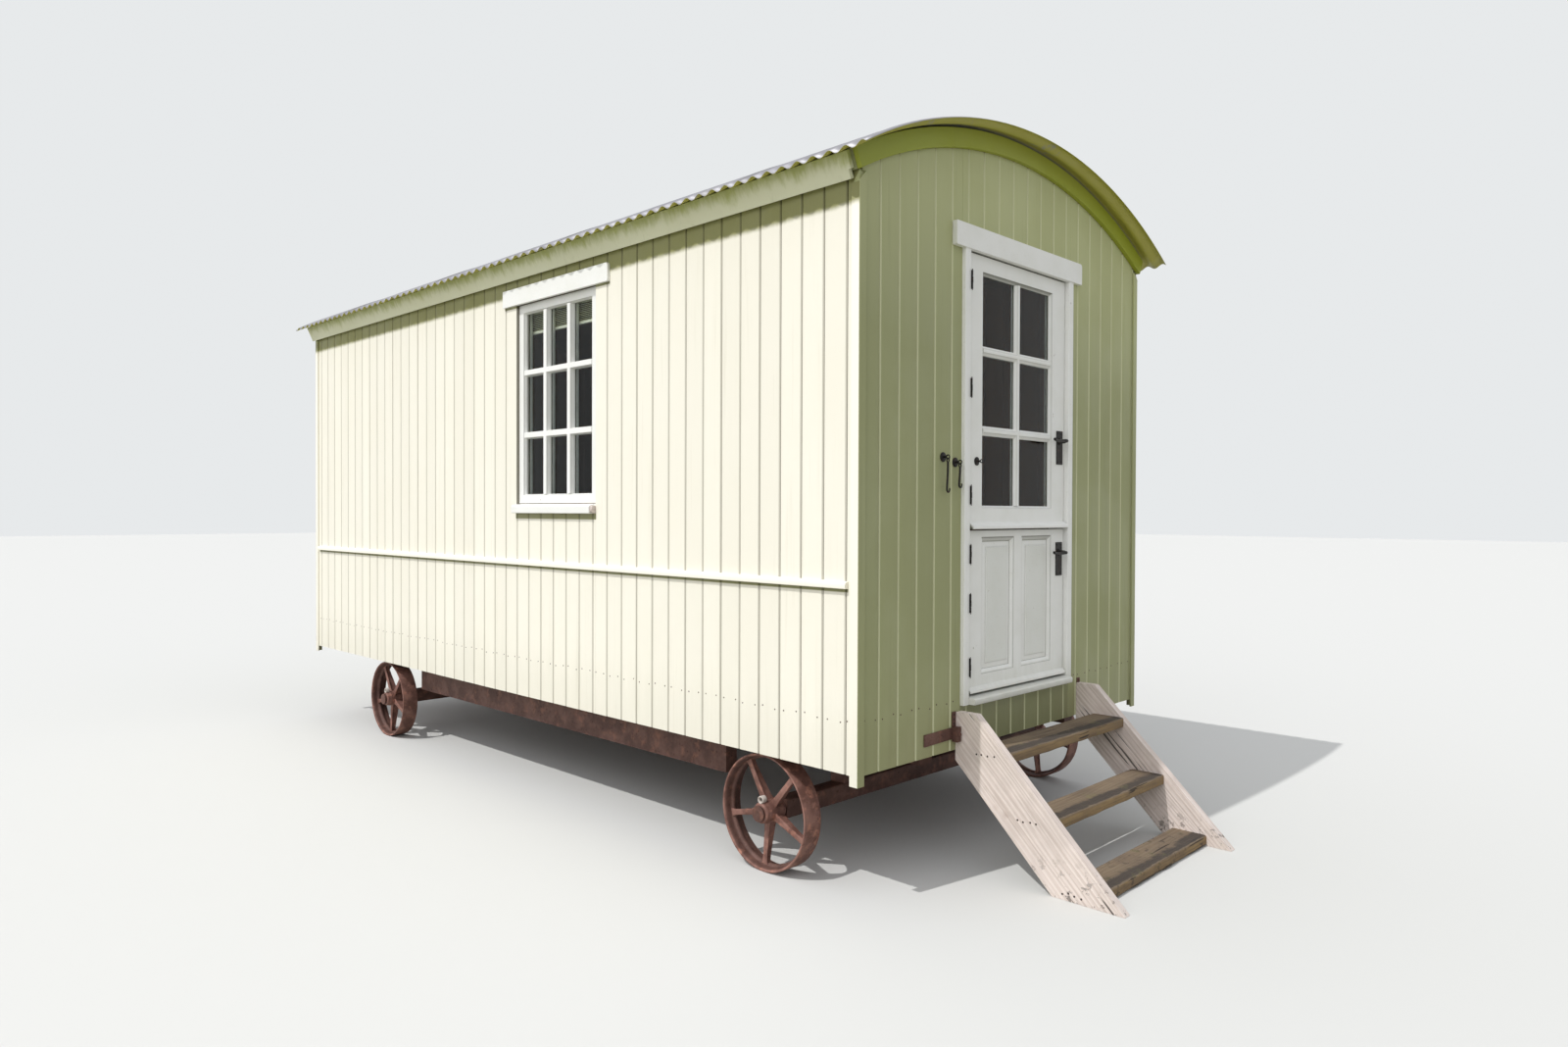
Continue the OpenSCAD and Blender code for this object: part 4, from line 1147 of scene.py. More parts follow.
def nested(shape, steps, base, u, v, depth, span_u, span_v, **look):
    """A raised panel: rectangles one inside another, each (inset, depth) from the list, joined and closed
    at both ends."""
    inset, level = np.asarray(steps, float).T
    base, u, v, depth = (np.asarray(q, float) for q in (base, u, v, depth))
    lo_u, hi_u, lo_v, hi_v = span_u[0] + inset, span_u[1] - inset, span_v[0] + inset, span_v[1] - inset
    a = np.stack([lo_u, hi_u, hi_u, lo_u], 1)
    b = np.stack([lo_v, lo_v, hi_v, hi_v], 1)
    points = (base + a[..., None] * u + b[..., None] * v + level[:, None, None] * depth).reshape(-1, 3)
    grain = np.stack([b, a, np.broadcast_to(level[:, None], a.shape)], -1) + look.pop("seed", 0.0)
    look["tint"] = np.repeat(look["tint"], 4)
    shape.add(points, closed_tube(len(inset), 4), grain=grain, **look)


def bar_profile(face, base_width, front, back):
    """Half of a glazing bar: a flat face, a quirk, bevelled shoulders and straight sides down to the glass,
    painted shade in the quirk and at the glass."""
    f, w, deep = face / 2, base_width / 2, back - front
    right = np.array([(f - 0.0012, front, 0.1), (f, front + deep * 0.06, 0.1),
                      (f + 0.0006, front + deep * 0.14, -0.35), (w - 0.0008, front + deep * 0.62, 0.1),
                      (w, front + deep * 0.7, 0.1), (w, back - deep * 0.12, -0.1), (w, back, -0.9)])
    return np.concatenate([right, (right * [-1, 1, 1])[::-1]])


def glazing(shape, base, u, v, depth, span_u, span_v, columns, rows, face, width, levels, seed=0.0):
    """Bars between panes of equal size, before and behind the glass: levels = (outer face, glass front,
    glass back, inner face)."""
    pitch_u = (span_u[1] - span_u[0] + width) / columns
    pitch_v = (span_v[1] - span_v[0] + width) / rows
    for near, far, slip in ((levels[0], levels[1], 0.0004), (levels[3], levels[2], -0.0004)):
        for k in range(1, columns):
            at = span_u[0] - width / 2 + pitch_u * k
            prism(shape, bar_profile(face, width, near, far), base + at * u, u, depth, v, *span_v, tint=0.2,
                  seed=seed + k)
        for k in range(1, rows):
            at = span_v[0] - width / 2 + pitch_v * k
            prism(shape, bar_profile(face, width, near + slip, far), base + at * v, v, depth, u, *span_u,
                  tint=0.3, seed=seed + 5 + k)


def sticking(outer, width, levels, drop=0.014, step=0.008):
    """Both halves of a sash member's section with its tints, painted shade in the quirk and the rebate: flat
    face, quirk and bevel, rebate for the glass between them."""
    out, glass_out, glass_in, back = levels
    halves = []
    for near, far in ((out, glass_out), (back, glass_in)):
        way = 1 if far > near else -1
        reach = min(drop, abs(far - near) * 0.8)
        rows = [(outer, far, -1), (outer, near + way * 0.0045, -1), (outer, near + way * 0.0012, 0.0),
                (outer + 0.0012, near, 0.15), (width - step, near, 0.15),
                (width - step + 0.0004, near + way * 0.0016, -0.35),
                (width - 0.0008, near + way * (reach - 0.001), 0.1), (width, near + way * reach, 0.1),
                (width, far, -0.9)]
        halves.append(np.array(rows, float))
    return halves


class HUT_OT_windows(bpy.types.Operator):
    """Sashes with nine panes, sills, head boards and raised blinds"""
    bl_idname = "hut.windows"
    bl_label = "Windows"

    def execute(self, context):
        s = context.scene.hut_sizes
        finish_node("window_glass", "Window glass")
        face_out = HALF - high("sash_right")[0] - 0.008
        face_in = HALF - low("sash_right")[0]
        glass_out = HALF - high("window_glass")[0]
        levels = (face_out, glass_out - 0.0002, glass_out + 0.0042, face_in)
        gap, head_gap = 0.0015, 0.002
        span_y = (WINDOW_LO[1] + gap, WINDOW_HI[1] - gap)
        span_z = (WINDOW_LO[2] + head_gap, WINDOW_HI[2] - head_gap)
        stile = float(low("window_glass")[1] - WINDOW_LO[1])
        door_side, far_side, rail = stile + 0.0065, stile - gap, stile - head_gap
        for name, side in (("left", -1), ("right", 1)):
            base, inward = np.array([side * HALF, 0, 0]), -side * X
            shape = Shape()
            for half in sticking(0.0, stile, levels, 0.014, 0.0055):
                framed(shape, half, base, Y, Z, inward, span_y, span_z, (door_side, far_side, rail, rail),
                       tint=0.2, seed=11 + side)
            inside_y = (span_y[0] + door_side, span_y[1] - far_side)
            inside_z = (span_z[0] + rail, span_z[1] - rail)
            glazing(shape, base, Y, Z, inward, inside_y, inside_z, 3, 3, s.window_bar, s.window_bar + 0.009,
                    levels, 20 + side)
            shape.build(f"sash_{name}_joinery", "hut", "white_paint", ["White joinery"],
                        replaces=[f"sash_{name}"], angle=28)
            self.blind(name, side, s, (WINDOW_LO[1] - 0.03, WINDOW_HI[1] + 0.03))
        self.sills()
        self.heads()
        return {"FINISHED"}

    def blind(self, name, side, s, span):
        """Raised slats: thin tilted slats under a head rail, the last one heavier."""
        shape = Shape()
        x = side * (INNER - 0.012)
        head, foot = WINDOW_HI[2] + 0.03, WINDOW_HI[2] - s.blind_foot
        block(shape, (x - 0.012, span[0], head - 0.03), (x + 0.012, span[1], head), "y", tint=0.3)
        step = 0.0085
        count = int((head - 0.03 - foot - 0.012) / step)
        for k in range(count):
            z = head - 0.03 - step * k
            outline = [(-0.009, z - 0.0075), (-0.0085, z - 0.0085), (0.009, z - 0.0015), (0.0085, z - 0.0005)]
            prism(shape, outline, (x, 0, 0), -side * X, Z, Y, *span, tint=0.1 + 0.05 * (k % 3), seed=k)
        bar = eased([(-0.008, foot), (0.008, foot), (0.008, foot + 0.012), (-0.008, foot + 0.012)], 0.003)
        prism(shape, bar, (x, 0, 0), X, Z, Y, *span, tint=1.0)
        shape.build(f"blind_{name}", "hut", "bare_timber", ["Blind"])

    def sills(self):
        """Sill: weathered top that falls outwards, rounded nose, drip groove under it; a broken block at
        the near end."""
        lo, hi = corners("window_sills")
        reach = hi[0] - HALF
        shape = Shape()
        for side in (-1, 1):
            outline = [(0.0, hi[2]), (reach - 0.004, hi[2] - 0.006), (reach, hi[2] - 0.011),
                       (reach, lo[2] + 0.003), (reach - 0.003, lo[2]), (reach - 0.009, lo[2]),
                       (reach - 0.009, lo[2] + 0.005), (reach - 0.014, lo[2] + 0.005), (reach - 0.014, lo[2]),
                       (0.0002, lo[2])]
            end = lo[1] + (0.018 if side < 0 else 0.0)
            prism(shape, outline, (side * HALF, 0, 0), side * X, Z, Y, end, hi[1], tint=0.3, seed=30 + side)
            inner = [(-0.0235, WINDOW_LO[2] - 0.0005), (-0.0235, WINDOW_LO[2] - 0.02),
                     (0.0, WINDOW_LO[2] - 0.02), (0.0, hi[2] - 0.0003)]
            prism(shape, inner, (side * HALF, 0, 0), side * X, Z, Y, WINDOW_LO[1] + 0.0005,
                  WINDOW_HI[1] - 0.0005, tint=0.3, seed=33 + side)
        shape.build("window_sill_boards", "hut", "white_paint", ["White joinery"], replaces=["window_sills"],
                    bevel=0.0015)
        stub = Shape()
        rng = seeded(41)
        wobble = rng.uniform(-0.0025, 0.0025, (5, 8, 2))
        outline = np.array([(0.001, 0.004), (reach * 0.5, 0.003), (reach * 0.8, 0.008), (reach * 0.88, 0.02),
                            (reach * 0.8, 0.032), (reach * 0.5, 0.038), (0.012, 0.036), (0.001, 0.034)])
        section = outline[None] + wobble
        x = np.minimum(-HALF - section[..., 0], -HALF - 0.0002)
        y = lo[1] + 0.001 + np.broadcast_to(np.linspace(0, 1, 5)[:, None], (5, 8)) * 0.0168
        points = np.stack([x, y, lo[2] + section[..., 1]], -1)
        stub.add(points, closed_tube(*section.shape[:2]), tint=0.9)
        stub.build("sill_stub", "hut", "step_timber", ["Step strings"], angle=50)

    def heads(self):
        """Head boards over the windows: a board whose outline lies on the wall, its near lower corner worn
        round."""
        lo, hi = corners("head_boards")
        top = WINDOW_HEAD + 0.085
        shape = Shape()
        span = window_head_span()
        for side in (-1, 1):
            outline = eased([(span[0], WINDOW_HEAD), (span[1], WINDOW_HEAD), (span[1], top), (span[0], top)],
                            [0.009, 0.002, 0.003, 0.012])
            prism(shape, outline, (side * HALF, 0, 0), Y, Z, side * X, 0, 0.015, tint=0.25, seed=50 + side,
                  flat=True)
        front = FRONT - lo[1]
        x0, x1, z0, z1 = -0.507, 0.483, FRAME_HI[2] - 0.038, hi[2]
        outline = eased([(x0, z0), (x1, z0), (x1, z1), (x0, z1)], [0.006, 0.002, 0.016, 0.004], 5)
        prism(shape, outline, (0, FRONT, 0), X, Z, -Y, 0, front, tint=0.15, seed=54, flat=True)
        shape.build("opening_head_boards", "hut", "white_paint", ["White joinery"], replaces=["head_boards"],
                    bevel=0.0025, segments=3)


class HUT_OT_door(bpy.types.Operator):
    """Frame, threshold, panelled lower leaf and glazed upper leaf"""
    bl_idname = "hut.door"
    bl_label = "Stable door"

    def execute(self, context):
        self.surround()
        self.lower_leaf()
        self.upper_leaf(context.scene.hut_sizes)
        finish_node("door_glass", "Window glass")
        finish_node("door_stops", "White joinery")
        return {"FINISHED"}

    def surround(self):
        lo, hi = corners("door_jambs")
        shape = Shape()
        for x0, key in ((lo[0], 1), (hi[0] - JAMB_WIDTH, 2)):
            x1 = x0 + JAMB_WIDTH
            outline = eased([(x0, hi[1]), (x0, lo[1]), (x1, lo[1]), (x1, hi[1])],
                            [0.001, 0.0032, 0.0032, 0.001])
            prism(shape, outline, (0, 0, 0), X, Y, Z, lo[2], hi[2], tint=0.15, seed=60 + key)
        shape.build("door_jamb_posts", "hut", "white_paint", ["White joinery"], replaces=["door_jambs"])
        shape = Shape()
        # Painted shade: the head rail, seen in the gap under the head board, is tinted dark.
        block(shape, *corners("door_head"), "x", tint=-0.6, seed=64)
        shape.build("door_head_rail", "hut", "white_paint", ["White joinery"], replaces=["door_head"],
                    bevel=0.001)
        lo, hi = corners("door_threshold")
        outline = [(lo[1] + 0.002, lo[2]), (lo[1], lo[2] + 0.004), (lo[1], hi[2] - 0.009),
                   (lo[1] + 0.004, hi[2] - 0.005), (FRONT - 0.004, hi[2] - 0.001), (FRONT + 0.02, hi[2]),
                   (hi[1], hi[2]), (hi[1], lo[2])]
        shape = Shape()
        prism(shape, outline, (0, 0, 0), Y, Z, X, lo[0], hi[0], tint=0.45, seed=66)
        shape.build("threshold_board", "hut", "white_paint", ["White joinery"], replaces=["door_threshold"],
                    bevel=0.0012)

    def leaf_frame(self, shape, z0, z1, hole, key):
        """Stiles and rails round the openings, the outer arrises eased, the stiles' sides and back painted
        shade.
        """
        x0, x1 = DOOR_LO[0], DOOR_HI[0]
        y0, y1 = LEAF_Y
        for a, b, r in ((x0, hole[0], (0.002, 0.002, 0, 0)), (hole[1], x1, (0, 0, 0.002, 0.002))):
            outline = eased([(a, y1), (a, y0), (b, y0), (b, y1)], r)
            outline = np.concatenate([outline[:1], [[outline[0, 0], y0 + 0.005]], outline[1:-1],
                                      [[outline[-1, 0], y0 + 0.005]], outline[-1:]])
            # Painted shade: the stiles' sides and back, past 4 mm behind the face, are dark.
            outline = np.column_stack([outline, np.where(outline[:, 1] > y0 + 0.004, -1.0, 0.2)])
            prism(shape, outline, (0, 0, 0), X, Y, Z, z0, z1, seed=key + a)
        for a, b in ((z0, hole[2]), (hole[3], z1)):
            block(shape, (hole[0], y0, a), (hole[1], y1, b), "x", tint=0.25, seed=key + 3 + a)

    def weatherboard(self, shape, z0, z1, reach, key):
        """Moulding along a leaf's foot: falling top, rounded nose, drip groove; painted shade where it meets
        the leaf and under it.
        """
        y = LEAF_Y[0]
        outline = [(y, z1), (y - 0.004, z1 - 0.001), (y - reach * 0.72, z1 - (z1 - z0) * 0.42),
                   (y - reach + 0.001, z1 - (z1 - z0) * 0.52), (y - reach, z1 - (z1 - z0) * 0.62),
                   (y - reach, z0 + 0.003), (y - reach + 0.002, z0 + 0.001), (y - reach * 0.62, z0),
                   (y - reach * 0.62, z0 + 0.004), (y - reach * 0.4, z0 + 0.004), (y - reach * 0.4, z0),
                   (y, z0)]
        # Tints: painted shade where the moulding meets the leaf and on its underside.
        outline = np.column_stack([outline, [-0.3, 0.1, 0.1, 0.1, 0.1, 0.1, -0.4, -0.9, -1, -1, -1, -1]])
        prism(shape, outline, (0, 0, 0), Y, Z, X, DOOR_LO[0] + 0.014, DOOR_HI[0], seed=key)

    def lower_leaf(self):
        z0, z1 = low("door_lower")[2], high("door_lower")[2]
        x0, x1 = DOOR_LO[0] + 0.106, DOOR_HI[0] - 0.106
        foot, head = z0 + 0.068, z1 - 0.026
        middle, muntin = (x0 + x1) / 2, 0.0285
        y0, y1 = LEAF_Y
        shape = Shape()
        self.leaf_frame(shape, z0, z1, (x0, x1, foot, head), 70)
        block(shape, (middle - muntin, y0, foot), (middle + muntin, y1, head), "z", tint=0.22, seed=77)
        # Moulding section with its tints: painted shade in the quirk and at the foot.
        section = np.array([(0, 0.015, 0.2), (0, 0.0, 0.2), (0.0012, 0.0, 0.2), (0.0018, 0.0022, -0.7),
                            (0.0030, 0.0022, -0.3), (0.0095, 0.0030, 0.1), (0.0165, 0.0080, 0.1),
                            (0.0185, 0.0122, 0.0), (0.0205, 0.0135, -0.9), (0.0205, 0.015, -0.9)])
        for a, b in ((x0, middle - muntin), (middle + muntin, x1)):
            for y, way in ((y0, Y), (y1, -Y)):
                # Painted shade on the mouldings, most on the top rail's.
                framed(shape, section, (0, y, 0), X, Z, way, (a, b), (foot, head), (0.0205,) * 4,
                       (-0.12, -0.05, -0.05, -0.5), seed=80 + a)
            half = [(0.0470, 0.0040), (0.0452, 0.0040), (0.0446, 0.0048), (0.0440, 0.0074), (0.0225, 0.0132),
                    (0.0200, 0.0138), (0.0180, 0.0138)]
            # Panel tints: a greyer field, and painted shade where the field steps down and at the panel's
            # edge.
            painted_shade = [0.7, 0.7, 0.1, -0.35, 0.4, -0.9, -0.9]
            rings = half + [(inset, (y1 - y0) - level) for inset, level in half[::-1]]
            nested(shape, rings, (0, y0, 0), X, Z, Y, (a, b), (foot, head), tint=painted_shade + painted_shade[::-1],
                   seed=86 + a)
        self.weatherboard(shape, z0, z0 + 0.026, 0.014, 88)
        shape.build("lower_leaf_joinery", "lower_leaf", "white_paint", ["White joinery"],
                    replaces=["door_lower"], angle=24)

    def upper_leaf(self, s):
        z0, z1 = low("door_upper")[2], high("door_upper")[2]
        hole_lo, hole_hi = corners("door_glass")
        y0, y1 = LEAF_Y
        levels = (0.0, hole_lo[1] - y0 - 0.0002, hole_hi[1] - y0 + 0.0002, y1 - y0)
        shape = Shape()
        hole = (hole_lo[0], hole_hi[0], hole_lo[2], hole_hi[2])
        self.leaf_frame(shape, z0, z1, hole, 90)
        step = 0.012
        for half in sticking(0.0, step, levels, 0.014, step - 0.0002):
            # Painted shade on the top member of the glazing moulding.
            framed(shape, half, (0, y0, 0), X, Z, Y, hole[:2], hole[2:], (step,) * 4, (0, 0, 0, -0.5),
                   tint=0.15, seed=95)
        inside_x, inside_z = (hole[0] + step, hole[1] - step), (hole[2] + step, hole[3] - step)
        glazing(shape, np.array([0, y0, 0]), X, Z, Y, inside_x, inside_z, 2, 3, s.door_bar,
                s.door_bar + 0.026, levels, 97)
        self.weatherboard(shape, z0, z0 + 0.029, 0.026, 99)
        shape.build("upper_leaf_joinery", "upper_leaf", "white_paint", ["White joinery"],
                    replaces=["door_upper"], angle=24)


class HUT_OT_ironwork(bpy.types.Operator):
    """Handles, hinges, cabin hooks, the leaf's eye and the step straps"""
    bl_idname = "hut.ironwork"
    bl_label = "Ironwork"

    def execute(self, context):
        for node, body in (("handle_lower", "lower_leaf"), ("handle_upper", "upper_leaf")):
            self.handle(node, body)
        self.hinges()
        self.cabin_hooks()
        self.straps()
        return {"FINISHED"}

    def handle(self, node, body):
        """Lever on a long plate: a tapering bar swept from the rose out, round a bend and back towards the
        hinges."""
        lo, hi = corners(node)
        z0 = lo[2]
        face = LEAF_Y[0]
        x = hi[0] - 0.0265
        z = z0 + 0.104
        shape = Shape()
        plate = eased([(x - 0.0262, z0), (x + 0.0262, z0), (x + 0.0262, z0 + 0.15), (x - 0.0262, z0 + 0.15)],
                      0.0025)
        prism(shape, plate, (0, face, 0), X, Z, -Y, 0.0, 0.0034, tint=0.5)
        turned(shape, [(0.0175, 0.003), (0.017, 0.0062), (0.0135, 0.0085), (0.0105, 0.0095), (0.0095, 0.03),
                       (0, 0.03)], (x, face, z), -Y, 20)
        t = np.linspace(0, 1, 9) * math.pi / 2
        neck_end, bend_r = face - 0.026, 0.018
        neck = np.stack([x + 0 * t[:3], np.linspace(face - 0.005, neck_end, 3), z + 0 * t[:3]], 1)
        bend = np.stack([x - bend_r * (1 - np.cos(t)), neck_end - bend_r * np.sin(t), z + 0 * t], 1)[1:]
        reach = np.linspace(0, 1, 12)[1:]
        end = lo[0] + 0.004
        lever = np.stack([bend[-1, 0] + (end - bend[-1, 0]) * reach,
                          bend[-1, 1] + 0.004 * np.sin(reach * math.pi),
                          z - 0.004 * np.sin(reach * math.pi) + 0.001], 1)
        curl = np.array([[end - 0.0035, bend[-1, 1] - 0.002, z + 0.004]])
        path = np.concatenate([neck, bend, lever, curl])
        width = np.concatenate([np.full(3, 0.0078), np.linspace(0.0078, 0.0095, 8),
                                np.linspace(0.0092, 0.0062, 11), [0.0052]])
        tube(shape, path, width, 12, tint=0.5, flat=0.85)
        turned(shape, [(0, 0.0055), (0.004, 0.0045), (0.0056, 0), (0.004, -0.0045), (0, -0.0055)], path[-1],
               -Y, 12)
        for dz, dx in ((0.012, -0.015), (0.012, 0.015), (0.138, -0.015), (0.138, 0.015)):
            turned(shape, [(0.0042, 0.003), (0.004, 0.0042), (0.0026, 0.0052), (0, 0.0055)],
                   (x + dx, face, z0 + dz), -Y, 10)
        # The keyhole is a dark disc and slot on the plate: painted shade of the hole.
        hole = [(0.0058, 0.0030), (0.0055, 0.0036), (0, 0.0036)]
        turned(shape, hole, (x, face, z0 + 0.052), -Y, 12, finish=1)
        block(shape, (x - 0.0022, face - 0.0037, z0 + 0.030), (x + 0.0022, face - 0.003, z0 + 0.052), "z",
              finish=1)
        shape.build(node + "_fittings", body, "black_iron", ["Black iron", "Dark slot"], replaces=[node],
                    angle=40)

    def hinges(self):
        """Butt hinges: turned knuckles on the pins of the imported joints, ball ends, plates let into jamb
        and leaf."""
        pins = {j["name"]: j for j in frame["joints"]}
        fixed = Shape()
        r, part = HINGE_R, (HINGE_LENGTH - 0.002) / 3
        knuckle = [(0, 0), (r - 0.0006, 0), (r, 0.0006), (r, part - 0.0006), (r - 0.0006, part), (0, part)]
        ball = [(r * 0.4, 0), (r * 0.45, 0.001), (r * 0.75, 0.0022), (r * 0.6, 0.0042), (0, 0.005)]
        jamb, edge = low("door_jambs")[0] + JAMB_WIDTH, DOOR_LO[0]
        plate, y = 0.0018, LEAF_Y[0]
        for leaf, node in (("lower", "hinges_lower"), ("upper", "hinges_upper")):
            px, py = pins[f"{leaf}_leaf_swing"]["pos_m"][:2]
            moving = Shape()
            for z in HINGE_FEET[leaf]:
                top, middle = z + HINGE_LENGTH, z + part + 0.001
                for foot in (z, top - part):
                    turned(fixed, knuckle, (px, py, foot), Z, 14)
                for foot, way in ((top, Z), (z, -Z)):
                    turned(fixed, ball, (px, py, foot), way, 12)
                turned(moving, knuckle, (px, py, middle), Z, 14)
                block(fixed, (jamb, py, z), (jamb + plate, y + 0.03, top))
                block(moving, (edge - plate, y + 0.001, z), (edge, y + 0.036, top))
                block(moving, (edge - plate, py, middle), (edge, y + 0.002, middle + part))
            moving.build(node + "_knuckles", f"{leaf}_leaf", "black_iron", ["Black iron"], replaces=[node],
                         angle=40)
        fixed.build("hinge_knuckles", "hut", "black_iron", ["Black iron"], replaces=["hinges"], angle=40)

    def rose(self, shape, centre, radius):
        turned(shape, [(radius, 0.0), (radius, 0.0022), (radius * 0.82, 0.0042), (radius * 0.4, 0.0052),
                       (0.0045, 0.0056), (0.0042, 0.018), (0, 0.018)], centre, -Y, 18)

    def cabin_hooks(self):
        """Two hooks that hang on the wall, and the eye on the upper leaf that one of them holds open."""
        shape = Shape()
        wall = FRONT - 0.0003
        for x, z, length, r in ((-0.564, FOOT + 1.147, 0.140, 0.0190), (-0.483, FOOT + 1.130, 0.104, 0.0190)):
            self.rose(shape, (x, wall, z), r)
            eye = np.array([x, wall - 0.0235, z])
            wire_ring(shape, eye, 0.0075, 0.0025, X)
            wire_ring(shape, eye + [0, 0, -0.0125], 0.0072, 0.0025, Y)
            t = np.linspace(0, 1, 8)
            rod = np.stack([x + 0.001 * np.sin(t * 5), eye[1] + 0.003 * t,
                            eye[2] - 0.018 - (length - 0.034) * t], 1)
            a = np.linspace(0, 1.15 * math.pi, 9)[1:]
            bend = np.stack([rod[-1, 0] + 0.009 * (1 - np.cos(a)), rod[-1, 1] + 0 * a,
                             rod[-1, 2] - 0.011 * np.sin(a)], 1)
            tube(shape, np.concatenate([rod, bend]),
                 np.concatenate([np.full(8, 0.0042), np.linspace(0.0042, 0.0026, 8)]), 10)
        shape.build("cabin_hooks", "hut", "black_iron", ["Black iron"], angle=45)
        eye = Shape()
        self.rose(eye, (-0.327, LEAF_Y[0] - 0.0002, FOOT + 1.140), 0.0175)
        wire_ring(eye, (-0.327, LEAF_Y[0] - 0.0235, FOOT + 1.140), 0.0060, 0.0021, X)
        eye.build("leaf_eye", "upper_leaf", "black_iron", ["Black iron"], angle=45)

    def straps(self):
        """Iron that ties the strings to the wall: a flat bar with its block, a holed angle and a tab."""
        lo, hi = corners("strings")
        wall = FRONT
        shape = Shape()
        z = FOOT + 0.043
        x0, x1 = lo[0] - 0.208, lo[0] - 0.001
        outline = eased([(x0, z), (x1, z + 0.004), (x1, z + 0.049), (x0, z + 0.046)], 0.003)
        prism(shape, outline, (0, wall, 0), X, Z, -Y, 0, 0.005, tint=0.0)
        block(shape, (lo[0] - 0.030, wall - 0.030, z - 0.006), (lo[0] - 0.004, wall - 0.005, z + 0.052),
              tint=0.0)
        turned(shape, [(0.009, 0.0), (0.009, 0.006), (0.0075, 0.0075), (0, 0.0075)],
               (lo[0] - 0.017, wall - 0.030, z + 0.024), -Y, 6)
        for x in (-0.16, -0.10):
            turned(shape, [(0.006, 0.004), (0.0055, 0.0065), (0.003, 0.008), (0, 0.0083)],
                   (lo[0] + x, wall, z + 0.024), -Y, 10)
        block(shape, (lo[0] - 0.026, wall - 0.004, FOOT + 0.0935), (lo[0] - 0.001, wall, FOOT + 0.152),
              tint=0.0)
        # Three dark discs on the angle: painted shade of its holes.
        for k in range(3):
            turned(shape, [(0.0050, 0.0030), (0.0050, 0.0043), (0, 0.0043)],
                   (lo[0] - 0.0135, wall, FOOT + 0.105 + 0.018 * k), -Y, 10, finish=1)
        block(shape, (hi[0] - 0.034, wall - 0.004, FOOT + 0.1505), (hi[0] - 0.008, wall, FOOT + 0.172),
              tint=0.0)
        turned(shape, [(0.0065, 0.0), (0.0065, 0.006), (0, 0.007)],
               (hi[0] - 0.021, wall - 0.003, FOOT + 0.161), -Y, 6)
        shape.build("step_straps", "hut", "rusty_iron", ["Rusty steel", "Dark slot"], bevel=0.0008, angle=40)


# Undercarriage and steps

